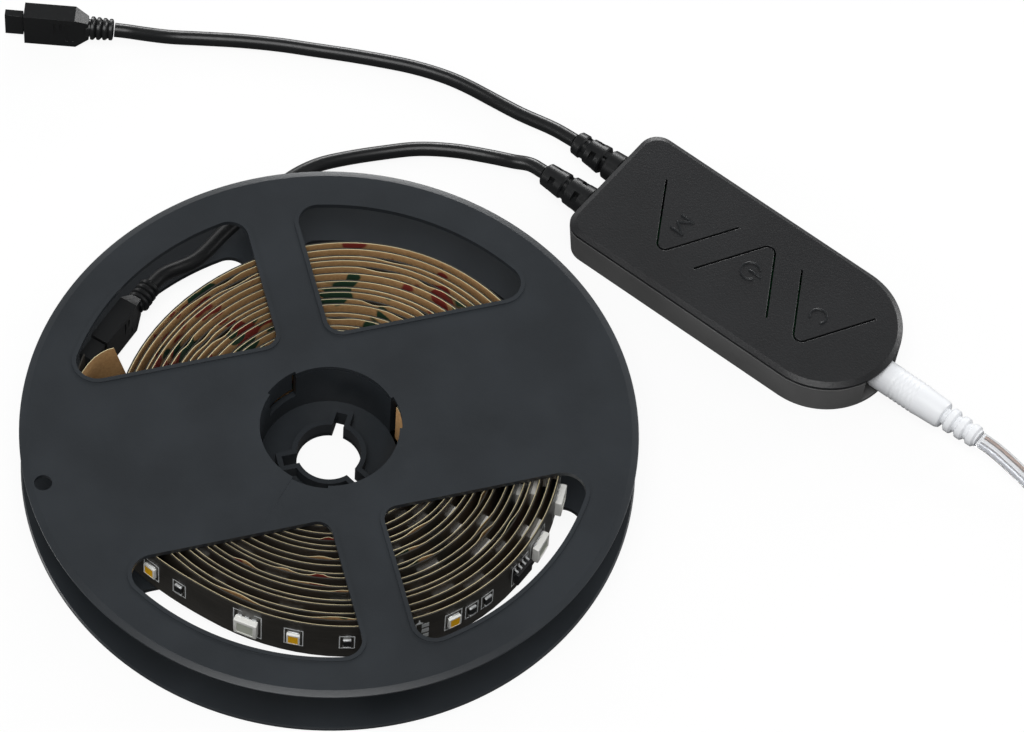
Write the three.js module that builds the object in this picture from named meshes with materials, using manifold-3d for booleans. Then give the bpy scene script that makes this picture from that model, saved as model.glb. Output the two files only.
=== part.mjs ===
// A reel of adhesive light strip with its in-line controller and leads. Millimetres, +Z up.
// The reel axis is the working origin; the last step moves everything to the object's own origin.
import * as THREE from 'three';
import { mergeVertices } from 'three/addons/utils/BufferGeometryUtils.js';
import Module from 'manifold-3d';

const wasm = await Module();
wasm.setup();

// Clearances used wherever two pieces meet
const GAP = 0.3;
const SLOT_GAP = 0.5;

// Reel: two snapped halves, spokes along X and Y
const REEL_R = 65;
const REEL_H = 15;
const FLANGE_T = 1.2;
const RIM_BEVEL = 1.5;
const HUB_R = 14.7;
const HUB_WALL = 1.3;
const NOTCH_DEG = 30;
const NOTCH_R = 15.3;
const BARREL_SLOT_FLOOR = 6;
const FINGER_FOOT = 8.2;
const ARBOR_R = 6.8;
const COLLAR_WALL = 1.1;
const COLLAR_H = 4.4;
const KEYWAY_W = 2.4;
const KEYWAY_R = 10;
const BAR_HALF = 22.2;
const SPOKE_HALF = 5.6;
const WINDOW_R = REEL_R - 9.1;
const WINDOW_FILLETS = [3.2, 4.6, 4.2];
const LIP_W = 0.9;
const LIP_H = 0.25;
const HANG_HOLE_R = 1.9;
const HANG_HOLE_X = -(REEL_R - 3.7);

// Light strip: one ribbon wound in a spiral, outward end lifted to its socket
const STRIP_W = 12;
const STRIP_T = 0.5;
const STRIP_PITCH = 1.62;
const STRIP_Z = FLANGE_T + GAP;
const STRIP_START_DEG = 8;
const STRIP_TURNS = 20;
const STRIP_R0 = 16.9;
const TAIL_DEG = 80;
const WAVE_MID = -0.42;
const WAVES = [[2.16, -0.72], [0.1, 0.16], [-0.62, 0.23]];

// Four-pole flat plug used twice: in the reel and on the free lead
const PLUG_T = 4.1;
const PLUG_W = 9.6;
const PLUG_L = 14.2;
const PLUG_TAPER = 2.9;
const PLUG_RIBS_L = 5.4;
const TIP_T = 1.7;
const TIP_W = 6.7;
const TIP_L = 4.3;
const SOCKET_L = TIP_L + 0.7;
const REEL_PLUG_R = REEL_R - 11.2;
const REEL_PLUG_DEG = 133.4;
const REEL_PLUG_AXIS_DEG = 43.9;
const FREE_PLUG_POS = [-32.4, 120.95];
const FREE_PLUG_AXIS_DEG = -18.5;

// Controller housing, placed by the middle of its lead end
const CTRL_X = 74.8;
const CTRL_Y = 51.4;
const CTRL_DEG = -52.85;
const CTRL_L = 75.6;
const CTRL_W = 32.9;
const CTRL_H = 10;
const CTRL_CORNER = 4.4;
const COVER_T = 1.3;
const COVER_BEVEL = 1.1;
const COVER_BEVEL_H = 0.7;
const WALL = 1.4;
const BASE_H = CTRL_H - COVER_T - GAP;
const BASE_DRAFT = 0.5;
const LEAD_Z = 4.8;
const GLAND_Y = [-5.3, 5.6];
const GLAND_L = 12.7;
const RECESS_X = CTRL_L - 3.2;

// Living-hinge buttons cut into the cover as rounded V tongues
const BUTTON_X = [CTRL_L * 0.267, CTRL_L * 0.512, CTRL_L * 0.753];
const BUTTON_SIDE = [1, -1, 1];
const BUTTON_NAMES = ['button_mode', 'button_power', 'button_colour'];
const HINGE_Y = 7.4;
const V_HALF = 9.6;
const V_DEPTH = 17.6;
const V_FILLET = 2.6;
const PLUNGER_R = 1.3;
const SWITCH_GAP = 0.35;

// Circuit board and its parts
const PCB_Z = 2.2;
const PCB_T = 1;
const PCB_X = [3.4, RECESS_X - 11.8];
const PCB_HALF_W = 13.4;
const PCB_TOP = PCB_Z + PCB_T;
const SWITCH_BODY = 6;
const SWITCH_BODY_H = 3.4;

// Barrel power plug and its jack
const BARREL_R = 2.75;
const BARREL_BORE_R = 1.3;
const BARREL_L = 9.4;
const JACK_BORE_R = 3.05;
const DC_BODY_L = 18.5;
const DC_BODY_R = [3.55, 3.1];
const DC_RINGS_L = 8.9;

// Leads and the cord
const LEAD_R = 1.6;
const LEAD_LOW = 1.66;
const CORD_W = 3.7;
const CORD_T = 1.9;
const COIL_R = 20;
const COIL_BAND = 9.4;
const COIL_H = 8.8;
const COIL_ALONG = CTRL_L + 71.4;
const COIL_ACROSS = 18.7;

// Small helpers
const rad = (deg) => deg * Math.PI / 180;

function toSolid(geometry) {
  const bare = new THREE.BufferGeometry();
  bare.setAttribute('position', geometry.getAttribute('position').clone());
  if (geometry.index) bare.setIndex(geometry.index.clone());
  const merged = mergeVertices(bare, 1e-4);
  const mesh = new wasm.Mesh({
    numProp: 3,
    vertProperties: new Float32Array(merged.getAttribute('position').array),
    triVerts: new Uint32Array(merged.index.array),
  });
  return new wasm.Manifold(mesh);
}

function toGeometry(solid) {
  const mesh = solid.getMesh();
  const geometry = new THREE.BufferGeometry();
  geometry.setAttribute('position', new THREE.BufferAttribute(new Float32Array(mesh.vertProperties), 3));
  geometry.setIndex(new THREE.BufferAttribute(new Uint32Array(mesh.triVerts), 1));
  return geometry;
}

function prism(points, low, high) {
  const shape = new THREE.Shape(points.map(([x, y]) => new THREE.Vector2(x, y)));
  const geometry = new THREE.ExtrudeGeometry(shape, { depth: high - low, bevelEnabled: false });
  return geometry.translate(0, 0, low);
}

function turned(profile, segments) {
  const points = profile.map(([r, z]) => new THREE.Vector2(r, z));
  const geometry = new THREE.LatheGeometry(points, segments);
  return geometry.rotateX(Math.PI / 2);
}

// A turned piece whose axis runs along +X instead of +Z
function turnedAlongX(profile, segments) {
  return turned(profile, segments).rotateY(Math.PI / 2);
}

function block(low, high) {
  const size = high.map((value, i) => value - low[i]);
  const middle = high.map((value, i) => (value + low[i]) / 2);
  return new THREE.BoxGeometry(...size).translate(...middle);
}

function circle(radius, count, cx = 0, cy = 0) {
  const points = [];
  for (let i = 0; i < count; i += 1) {
    const a = 2 * Math.PI * i / count;
    points.push([cx + radius * Math.cos(a), cy + radius * Math.sin(a)]);
  }
  return points;
}

function arc(points, cx, cy, radius, from, to, steps) {
  for (let i = 0; i <= steps; i += 1) {
    const a = rad(from + (to - from) * i / steps);
    points.push([cx + radius * Math.cos(a), cy + radius * Math.sin(a)]);
  }
}

function union(solids) {
  return solids.reduce((sum, next) => sum.add(next));
}

const group = new THREE.Group();
const cordNodes = new Set();

function add(name, geometry, color, roughness, metalness = 0, onCord = false) {
  const material = new THREE.MeshStandardMaterial({ color, roughness, metalness });
  const mesh = new THREE.Mesh(geometry, material);
  mesh.name = name;
  group.add(mesh);
  if (onCord) cordNodes.add(name);
  return mesh;
}

const BLACK_REEL = 0x34383b;
const BLACK_MOULD = 0x1d1f20;
const BLACK_COVER = 0x2f3234;
const GREY_BASE = 0x464646;
const BLACK_BOARD = 0x22211f;
const WHITE_PVC = 0xe9ebee;
const METAL = 0xb9bcc0;

// Window outline in one quadrant, grown outward by the given amount
function windowOutline(sx, sy, grow) {
  const x0 = SPOKE_HALF - grow;
  const y0 = BAR_HALF - grow;
  const outer = WINDOW_R + grow;
  const [inner, side, top] = WINDOW_FILLETS.map((r) => r + grow);
  const sideY = y0 + side;
  const sideX = Math.sqrt((outer - side) ** 2 - sideY ** 2);
  const topX = x0 + top;
  const topY = Math.sqrt((outer - top) ** 2 - topX ** 2);
  const sideDeg = Math.atan2(sideY, sideX) * 180 / Math.PI;
  const topDeg = Math.atan2(topY, topX) * 180 / Math.PI;
  const points = [];
  arc(points, x0 + inner, y0 + inner, inner, 180, 270, 4);
  arc(points, sideX, sideY, side, -90, sideDeg, 6);
  arc(points, 0, 0, outer, sideDeg + 4, topDeg - 4, 9);
  arc(points, topX, topY, top, topDeg, 180, 5);
  return points.map(([x, y]) => [sx * x, sy * y]);
}

const QUADRANTS = [[1, 1], [-1, 1], [-1, -1], [1, -1]];

function windows(low, high, grow = 0) {
  return union(QUADRANTS.map(([sx, sy]) => toSolid(prism(windowOutline(sx, sy, grow), low, high))));
}

function hangHole(low, high) {
  return toSolid(prism(circle(HANG_HOLE_R, 12, HANG_HOLE_X, 0), low, high));
}

// Flange disc; the bevelled face is the outward one
function disc(low, high, up) {
  const [lowR, highR] = up ? [REEL_R, REEL_R - RIM_BEVEL] : [REEL_R - RIM_BEVEL, REEL_R];
  const waist = up ? high - 0.35 : low + 0.35;
  return toSolid(turned([[0, low], [lowR, low], [REEL_R, waist], [highR, high], [0, high]], 72));
}

function sector(inner, outer, centreDeg, widthDeg, low, high) {
  const points = [];
  arc(points, 0, 0, inner, centreDeg - widthDeg / 2, centreDeg + widthDeg / 2, 6);
  arc(points, 0, 0, outer, centreDeg + widthDeg / 2, centreDeg - widthDeg / 2, 6);
  return toSolid(prism(points, low, high));
}

const NOTCHES = [0, 120, 240];
const KEYWAYS = [60, 180, 300];

// Lower half: flange, hub barrel with three slots, keyed arbor collar
function lowerHalf() {
  const barrelTop = REEL_H - FLANGE_T - GAP;
  const barrelOuter = HUB_R + HUB_WALL;
  let barrel = toSolid(turned([
    [HUB_R, FLANGE_T / 2], [barrelOuter, FLANGE_T / 2], [barrelOuter, barrelTop], [HUB_R, barrelTop],
    [HUB_R, FLANGE_T / 2],
  ], 48));
  for (const deg of NOTCHES) {
    const floor = deg === 0 ? FLANGE_T : BARREL_SLOT_FLOOR;
    barrel = barrel.subtract(sector(HUB_R - 1, barrelOuter + 1, deg, NOTCH_DEG, floor, REEL_H));
  }
  const collarOuter = ARBOR_R + COLLAR_WALL;
  let collar = toSolid(turned([[0, 0], [collarOuter, 0], [collarOuter, COLLAR_H], [0, COLLAR_H]], 30));
  let keys = toSolid(turned([[0, -1], [ARBOR_R, -1], [ARBOR_R, COLLAR_H + 1], [0, COLLAR_H + 1]], 30));
  for (const deg of KEYWAYS) {
    const wall = KEYWAY_W / 2 + COLLAR_WALL;
    const walls = toSolid(block([0, -wall, 0], [KEYWAY_R + COLLAR_WALL, wall, COLLAR_H]).rotateZ(rad(deg)));
    const key = block([0, -KEYWAY_W / 2, -1], [KEYWAY_R, KEYWAY_W / 2, COLLAR_H + 1]).rotateZ(rad(deg));
    collar = collar.add(walls);
    keys = keys.add(toSolid(key));
  }
  return disc(0, FLANGE_T, false)
    .add(barrel)
    .add(collar)
    .subtract(keys)
    .subtract(windows(-1, FLANGE_T + 1))
    .subtract(hangHole(-1, FLANGE_T + 1));
}

// Upper half: flange with raised window lips and two snap fingers in the barrel slots
function upperHalf() {
  const low = REEL_H - FLANGE_T;
  const face = REEL_H - LIP_H;
  let half = disc(low, face, true);
  const lips = windows(face - 0.2, REEL_H, LIP_W);
  half = half.add(lips);
  half = half.subtract(windows(low - 1, REEL_H + 1));
  half = half.subtract(toSolid(prism(circle(HUB_R, 48), low - 1, REEL_H + 1)));
  for (const deg of NOTCHES) {
    half = half.subtract(sector(HUB_R - 1, NOTCH_R, deg, NOTCH_DEG, low - 1, REEL_H + 1));
  }
  for (const deg of NOTCHES.slice(1)) {
    const finger = sector(NOTCH_R, HUB_R + HUB_WALL, deg, NOTCH_DEG - 5, FINGER_FOOT, low + 0.5);
    half = half.add(finger);
  }
  return half.subtract(hangHole(low - 1, REEL_H + 1));
}

add('reel_lower', toGeometry(lowerHalf()), BLACK_REEL, 0.55);
add('reel_upper', toGeometry(upperHalf()), BLACK_REEL, 0.55);

// Place of the plug in the reel; the strip ends just behind its socket
const REEL_PLUG_Z = FLANGE_T + GAP + PLUG_W / 2;
const reelPlugMid = [
  REEL_PLUG_R * Math.cos(rad(REEL_PLUG_DEG)),
  REEL_PLUG_R * Math.sin(rad(REEL_PLUG_DEG)),
];
const reelPlugAxis = [Math.cos(rad(REEL_PLUG_AXIS_DEG)), Math.sin(rad(REEL_PLUG_AXIS_DEG))];
const reelPlugNose = reelPlugMid.map((value, i) => value - reelPlugAxis[i] * (PLUG_L - 0.7) / 2);

const socketEnd = reelPlugNose.map((value, i) => value - reelPlugAxis[i] * SOCKET_L);
const tailEndDeg = Math.atan2(socketEnd[1], socketEnd[0]) * 180 / Math.PI + 1.25;
const STRIP_SWEEP_DEG = 360 * STRIP_TURNS + STRIP_START_DEG - tailEndDeg;

// The loose turns are not round: each outer turn swings in and out with the angle
function wave(sweep) {
  const a = rad(STRIP_START_DEG - sweep);
  let sum = WAVE_MID;
  WAVES.forEach(([c, s], i) => {
    sum += c * Math.cos((i + 1) * a) + s * Math.sin((i + 1) * a);
  });
  return sum * sweep / STRIP_SWEEP_DEG;
}

// Radius of the strip's middle line after the given sweep from its inner end
const smooth = (t) => t * t * (3 - 2 * t);
const spiral = (sweep) => STRIP_R0 + STRIP_PITCH * sweep / 360 + wave(sweep);
const TAIL_LIFT = Math.hypot(...socketEnd) - 0.2 - spiral(STRIP_SWEEP_DEG);

function stripRadius(sweep) {
  const left = STRIP_SWEEP_DEG - sweep;
  const lift = left < TAIL_DEG ? TAIL_LIFT * smooth(1 - left / TAIL_DEG) : 0;
  const tuck = sweep < 24 ? -1.6 * smooth(1 - sweep / 24) : 0;
  return spiral(sweep) + lift + tuck;
}

function stripPoint(sweep, offset) {
  const a = rad(STRIP_START_DEG - sweep);
  const r = stripRadius(sweep) + offset;
  return [r * Math.cos(a), r * Math.sin(a)];
}

function stripSweeps() {
  const sweeps = [];
  let sweep = 0;
  while (sweep < STRIP_SWEEP_DEG) {
    sweeps.push(sweep);
    sweep += sweep > STRIP_SWEEP_DEG - 400 ? 7.5 : 15;
  }
  sweeps.push(STRIP_SWEEP_DEG);
  return sweeps;
}

function strip() {
  const sweeps = stripSweeps();
  const outer = sweeps.map((sweep) => stripPoint(sweep, STRIP_T / 2));
  const inner = sweeps.map((sweep) => stripPoint(sweep, -STRIP_T / 2)).reverse();
  return prism([...outer, ...inner], STRIP_Z, STRIP_Z + STRIP_W);
}

add('led_strip', strip(), BLACK_BOARD, 0.5);

// A small part soldered on the outer turn: along the turn, across the strip, thickness
function onStrip(deg, z, length, width, thickness) {
  let sweep = STRIP_START_DEG - deg;
  while (sweep < STRIP_SWEEP_DEG - 360) sweep += 360;
  const radius = stripRadius(sweep);
  const slope = (stripRadius(sweep - 1) - stripRadius(sweep + 1)) / (2 * rad(1) * radius);
  const box = new THREE.BoxGeometry(thickness, length, width);
  box.translate(STRIP_T / 2 + 0.12 + thickness / 2, 0, 0).rotateZ(-Math.atan(slope));
  return box.translate(radius, 0, z).rotateZ(rad(deg));
}

const STRIP_MID = STRIP_Z + STRIP_W / 2;
const RGB_DEGS = [-124.8, -43, -29];
RGB_DEGS.forEach((deg, i) => {
  add(`led_rgb_${i + 1}`, onStrip(deg, STRIP_MID, 5, 5, 1.6), 0xd9dcd8, 0.35);
});
const WARM_DEGS = [-153.6, -112.6, -72.5];
WARM_DEGS.forEach((deg, i) => {
  add(`led_white_${i + 1}`, onStrip(deg, STRIP_MID, 3.5, 2.8, 0.8), 0xe7a417, 0.4);
});
const RESISTOR_DEGS = [-144.8, -99.3, -67.3, -62.6];
RESISTOR_DEGS.forEach((deg, i) => {
  add(`resistor_${i + 1}`, onStrip(deg, STRIP_MID, 2, 1.25, 0.5), 0x1a1a1a, 0.4);
});
add('driver_chip', onStrip(-51, STRIP_MID, 4.9, 3.9, 1.5), 0x191919, 0.5);

// Plug seen along its own axis: body with a tapered rear and ribs, nose towards -X
function plugBody() {
  const t = PLUG_T / 2;
  const w = PLUG_W / 2;
  const side = [
    [0, -w], [PLUG_L - PLUG_TAPER, -w], [PLUG_L, -w + 1.9], [PLUG_L, w - 1.9],
    [PLUG_L - PLUG_TAPER, w], [0, w],
  ];
  const plan = [
    [0, -t], [PLUG_L - PLUG_TAPER, -t], [PLUG_L, -t + 0.9], [PLUG_L, t - 0.9],
    [PLUG_L - PLUG_TAPER, t], [0, t],
  ];
  const tall = toSolid(prism(side, -t, t).rotateX(Math.PI / 2));
  const flat = toSolid(prism(plan, -w, w));
  const ribs = [[0, PLUG_L - 0.5], [2, PLUG_L - 0.5]];
  const pitch = PLUG_RIBS_L / 4;
  for (let i = 0; i < 4; i += 1) {
    const x = PLUG_L + i * pitch;
    const r = 2.6 - 0.07 * i;
    ribs.push([2, x + 0.4], [r, x + 0.55], [r, x + pitch - 0.15], [2, x + pitch]);
  }
  ribs.push([0, PLUG_L + PLUG_RIBS_L]);
  return tall.intersect(flat).add(toSolid(turnedAlongX(ribs, 14)));
}

function plugTip() {
  return block([-TIP_L, -TIP_T / 2, -TIP_W / 2], [-GAP, TIP_T / 2, TIP_W / 2]);
}

function placed(geometry, x, y, z, deg) {
  return geometry.rotateZ(rad(deg)).translate(x, y, z);
}

// Plug in the reel, with the socket on the strip's outer end
function inReel(geometry) {
  return placed(geometry, reelPlugNose[0], reelPlugNose[1], REEL_PLUG_Z, REEL_PLUG_AXIS_DEG);
}

function stripSocket() {
  const body = toSolid(block([-SOCKET_L, -1.7, -4.2], [-GAP, 1.7, 4.2]));
  const bore = toSolid(block([-TIP_L - GAP, -TIP_T / 2 - GAP, -TIP_W / 2 - GAP], [
    1, TIP_T / 2 + GAP, TIP_W / 2 + GAP,
  ]));
  return body.subtract(bore);
}

add('strip_socket', inReel(toGeometry(stripSocket())), BLACK_MOULD, 0.45);
add('reel_plug_body', inReel(toGeometry(plugBody())), BLACK_MOULD, 0.45, 0, true);
add('reel_plug_tip', inReel(plugTip()), BLACK_MOULD, 0.4, 0, true);

// Free plug, standing on its narrow side on the surface
function free(geometry) {
  const [x, y] = FREE_PLUG_POS;
  return placed(geometry.translate(-PLUG_L / 2, 0, 0), x, y, PLUG_W / 2, FREE_PLUG_AXIS_DEG);
}

add('spare_plug_body', free(toGeometry(plugBody())), BLACK_MOULD, 0.45, 0, true);
add('spare_plug_tip', free(plugTip()), BLACK_MOULD, 0.4, 0, true);

// Housing outline: square lead end with rounded corners, half-round jack end
function housingOutline(inset) {
  const w = CTRL_W / 2 - inset;
  const corner = Math.max(CTRL_CORNER - inset, 0.8);
  const round = w;
  const left = inset;
  const points = [];
  arc(points, left + corner, -w + corner, corner, 180, 270, 5);
  arc(points, CTRL_L - inset - round, 0, round, -90, 90, 26);
  arc(points, left + corner, w - corner, corner, 90, 180, 5);
  return points;
}

// Pull the foot of a geometry inward to give its walls a moulding draft
function draft(geometry, low, amount) {
  const position = geometry.getAttribute('position');
  const middle = CTRL_L / 2;
  for (let i = 0; i < position.count; i += 1) {
    if (position.getZ(i) < low + 0.01) {
      position.setX(i, middle + (position.getX(i) - middle) * (1 - 2 * amount / CTRL_L));
      position.setY(i, position.getY(i) * (1 - 2 * amount / CTRL_W));
    }
  }
  return geometry;
}

function onController(geometry) {
  return placed(geometry, CTRL_X, CTRL_Y, 0, CTRL_DEG);
}

// Base tub with board posts, lead holes and a flat recess behind the jack opening
function base() {
  let tub = toSolid(draft(prism(housingOutline(0), 0, BASE_H), 0, BASE_DRAFT));
  const wallX = RECESS_X - WALL;
  const hollowShape = toSolid(prism(housingOutline(WALL), WALL, BASE_H + 1));
  const hollow = hollowShape.subtract(toSolid(block([wallX, -30, 0], [CTRL_L, 30, 20])));
  tub = tub.subtract(hollow);
  const recess = [[RECESS_X, -5.2], [CTRL_L + 1, -7.4], [CTRL_L + 1, 7.4], [RECESS_X, 5.2]];
  tub = tub.subtract(toSolid(prism(recess, 1.2, BASE_H + 1)));
  for (const y of GLAND_Y) {
    const hole = turnedAlongX([[0, -1], [2.9, -1], [2.9, 3], [0, 3]], 24);
    tub = tub.subtract(toSolid(hole.translate(0, y, LEAD_Z)));
  }
  const mouth = turnedAlongX([
    [0, wallX - 1], [JACK_BORE_R, wallX - 1], [JACK_BORE_R, CTRL_L], [0, CTRL_L],
  ], 28);
  tub = tub.subtract(toSolid(mouth.translate(0, 0, LEAD_Z)));
  for (const x of [12, 52]) {
    for (const y of [-9, 9]) {
      tub = tub.add(toSolid(block([x - 1.5, y - 1.5, WALL - 0.2], [x + 1.5, y + 1.5, PCB_Z - GAP / 3])));
    }
  }
  return tub;
}

// V tongue outline about its hinge line; positive grow widens it
function tongue(grow, hingeTrim) {
  const half = Math.atan2(V_HALF, V_DEPTH);
  const slope = V_HALF / V_DEPTH;
  const side = grow / Math.cos(half);
  const fillet = V_FILLET + grow;
  const tipY = HINGE_Y - V_DEPTH;
  const centreY = tipY + V_FILLET / Math.sin(half);
  const topY = HINGE_Y - hingeTrim;
  const points = [[-((topY - tipY) * slope + side), topY]];
  const startDeg = 180 + half * 180 / Math.PI;
  arc(points, 0, centreY, fillet, startDeg, 540 - startDeg, 7);
  points.push([(topY - tipY) * slope + side, topY]);
  return points;
}

function buttonFrame(geometry, i) {
  return geometry.rotateZ(BUTTON_SIDE[i] > 0 ? 0 : Math.PI).translate(BUTTON_X[i], 0, 0);
}

// Cover plate with bevelled rim, inner lip and three V openings
function cover() {
  const low = CTRL_H - COVER_T;
  const rim = CTRL_H - COVER_BEVEL_H;
  const plate = prism(housingOutline(0), rim, CTRL_H);
  const position = plate.getAttribute('position');
  const middle = CTRL_L / 2;
  for (let i = 0; i < position.count; i += 1) {
    if (position.getZ(i) > CTRL_H - 0.01) {
      position.setX(i, middle + (position.getX(i) - middle) * (1 - 2 * COVER_BEVEL / CTRL_L));
      position.setY(i, position.getY(i) * (1 - 2 * COVER_BEVEL / CTRL_W));
    }
  }
  const lipOuter = toSolid(prism(housingOutline(WALL + GAP), low - 1.4, low + 0.3));
  const lipInner = toSolid(prism(housingOutline(WALL + GAP + 1), low - 2, low));
  const jackEnd = toSolid(block([RECESS_X - 4, -30, 0], [CTRL_L, 30, low]));
  const leadEnd = toSolid(block([-1, -10.5, 0], [5, 10.5, low]));
  const lip = lipOuter.subtract(lipInner).subtract(jackEnd).subtract(leadEnd);
  let lid = toSolid(prism(housingOutline(0), low, rim)).add(toSolid(plate)).add(lip);
  BUTTON_X.forEach((x, i) => {
    const opening = prism(tongue(SLOT_GAP, 0), low - 1, CTRL_H + 1);
    lid = lid.subtract(toSolid(buttonFrame(opening, i)));
  });
  return lid;
}

function button(i) {
  const low = CTRL_H - COVER_T;
  const plungerLow = PCB_TOP + GAP / 3 + SWITCH_BODY_H + 0.5 + SWITCH_GAP;
  const plate = toSolid(prism(tongue(0, GAP), low, CTRL_H));
  const post = toSolid(prism(circle(PLUNGER_R, 16, 0, 0), plungerLow, low + 0.4));
  return buttonFrame(toGeometry(plate.add(post)), i);
}

add('controller_base', onController(toGeometry(base())), GREY_BASE, 0.5);
add('controller_cover', onController(toGeometry(cover())), BLACK_COVER, 0.75);
BUTTON_NAMES.forEach((name, i) => {
  add(name, onController(button(i)), BLACK_COVER, 0.75);
});

// Tapered, grooved glands moulded on the leads, each locked in the base wall
function gland(rings) {
  const profile = [[0, -GLAND_L]];
  for (const [near, far, nearR, farR] of rings) {
    profile.push([farR, -far], [nearR, -near]);
    if (near > 1) profile.push([2.3, -near], [2.3, -near + 1]);
  }
  const inside = WALL + GAP;
  profile.push([2.6, -GAP], [2.6, inside], [3.3, inside], [3.3, inside + 1.2], [0, inside + 1.2]);
  return turnedAlongX(profile, 16);
}

const REEL_GLAND = [[7.2, GLAND_L, 3.05, 2.65], [GAP, 6.2, 3.6, 3.25]];
const SPARE_GLAND = [[10.4, GLAND_L, 2.8, 2.65], [4.9, 9.4, 3.3, 2.9], [GAP, 3.9, 3.6, 3.4]];
add('reel_lead_gland', onController(gland(REEL_GLAND).translate(0, GLAND_Y[0], LEAD_Z)), BLACK_MOULD, 0.5);
add('spare_lead_gland', onController(gland(SPARE_GLAND).translate(0, GLAND_Y[1], LEAD_Z)), BLACK_MOULD, 0.5);

// Board with its soldered parts, resting on the posts in the base
const boardPart = (low, high) => onController(block(low, high));
const boardZ = PCB_TOP + GAP / 3;
const board = boardPart([PCB_X[0], -PCB_HALF_W, PCB_Z], [PCB_X[1], PCB_HALF_W, PCB_TOP]);
add('circuit_board', board, 0x1f5a35, 0.5);
BUTTON_X.forEach((x, i) => {
  const half = SWITCH_BODY / 2;
  const body = toSolid(block([x - half, -half, boardZ], [x + half, half, boardZ + SWITCH_BODY_H]));
  const bodyTop = boardZ + SWITCH_BODY_H;
  const cap = toSolid(prism(circle(1.7, 16, x, 0), bodyTop - 0.2, bodyTop + 0.5));
  add(`tact_switch_${i + 1}`, onController(toGeometry(body.add(cap))), 0x24252a, 0.4);
});
const chipX = (BUTTON_X[0] + BUTTON_X[1]) / 2;
add('control_chip', boardPart([chipX - 3, -7.5, boardZ], [chipX + 2, -2.5, boardZ + 1.5]), 0x17181a, 0.5);
add('radio_chip', boardPart([chipX - 2.5, 3, boardZ], [chipX + 1.5, 7, boardZ + 0.9]), 0x17181a, 0.5);
const capX = (BUTTON_X[1] + BUTTON_X[2]) / 2;
const capacitor = turnedAlongX([[0, capX - 4], [2.4, capX - 4], [2.4, capX + 4], [0, capX + 4]], 20);
add('capacitor', onController(capacitor.translate(0, -9.5, boardZ + 2.4)), 0x2b3350, 0.35);
[-6, -2, 2, 6].forEach((y, i) => {
  const transistor = boardPart([10, y - 1.5, boardZ], [13, y + 1.5, boardZ + 1.1]);
  add(`output_transistor_${i + 1}`, transistor, 0x17181a, 0.5);
});

// Jack: a block with a round bore and a centre pin standing in it
const JACK_X = [RECESS_X - 10, RECESS_X - WALL - GAP];
const JACK_BACK = 0.9;
const jackBlock = toSolid(block([JACK_X[0], -4.5, 1.7], [JACK_X[1], 4.5, 8.2]));
const jackBore = toSolid(turnedAlongX([
  [0, JACK_X[0] + JACK_BACK], [JACK_BORE_R, JACK_X[0] + JACK_BACK], [JACK_BORE_R, CTRL_L], [0, CTRL_L],
], 28).translate(0, 0, LEAD_Z));
add('power_jack', onController(toGeometry(jackBlock.subtract(jackBore))), 0x1a1b1d, 0.4);
const pinLow = JACK_X[0] + JACK_BACK + GAP;
const pinTip = RECESS_X - 1.7;
const pin = turnedAlongX([[0, pinLow], [1, pinLow], [1, pinTip - 0.5], [0.6, pinTip], [0, pinTip]], 16);
add('jack_pin', onController(pin.translate(0, 0, LEAD_Z)), METAL, 0.25, 1);

// White plug: hollow metal barrel, moulded grip and three strain rings
const DC_X = RECESS_X + GAP;
const barrelLow = DC_X - GAP - BARREL_L + 0.6;
const barrel = turnedAlongX([
  [BARREL_BORE_R, barrelLow], [BARREL_R, barrelLow], [BARREL_R, DC_X - GAP], [BARREL_BORE_R, DC_X - GAP],
  [BARREL_BORE_R, barrelLow],
], 24);
add('dc_plug_barrel', onController(barrel.translate(0, 0, LEAD_Z)), METAL, 0.25, 1, true);

function dcBody() {
  const end = DC_X + DC_BODY_L;
  const profile = [[0, DC_X], [2.9, DC_X], [DC_BODY_R[0], DC_X + 0.7], [DC_BODY_R[0], DC_X + 11]];
  profile.push([DC_BODY_R[1] + 0.1, end - 0.6], [DC_BODY_R[1] - 0.4, end], [1.9, end]);
  for (let i = 0; i < 3; i += 1) {
    const x = end + 0.9 + i * 2.8;
    const r = 2.75 - 0.15 * i;
    profile.push([1.9, x], [r, x + 0.2], [r, x + 1.8], [1.9, x + 2]);
  }
  profile.push([1.9, end + DC_RINGS_L], [0, end + DC_RINGS_L]);
  return turnedAlongX(profile, 20);
}

add('dc_plug_body', onController(dcBody().translate(0, 0, LEAD_Z)), WHITE_PVC, 0.4, 0, true);
const cordStart = DC_X + DC_BODY_L + DC_RINGS_L + GAP;

// A point given along and across the controller, in the reel's frame
function fromController(x, y, z) {
  const c = Math.cos(rad(CTRL_DEG));
  const s = Math.sin(rad(CTRL_DEG));
  return [CTRL_X + x * c - y * s, CTRL_Y + x * s + y * c, z];
}

function curve(points) {
  const vectors = points.map((point) => new THREE.Vector3(...point));
  return new THREE.CatmullRomCurve3(vectors, false, 'centripetal');
}

function tube(points, section, steps) {
  const shape = new THREE.Shape(section.map(([x, y]) => new THREE.Vector2(x, y)));
  return new THREE.ExtrudeGeometry(shape, { steps, bevelEnabled: false, extrudePath: curve(points) });
}

const leadSection = circle(LEAD_R, 8);

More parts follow.
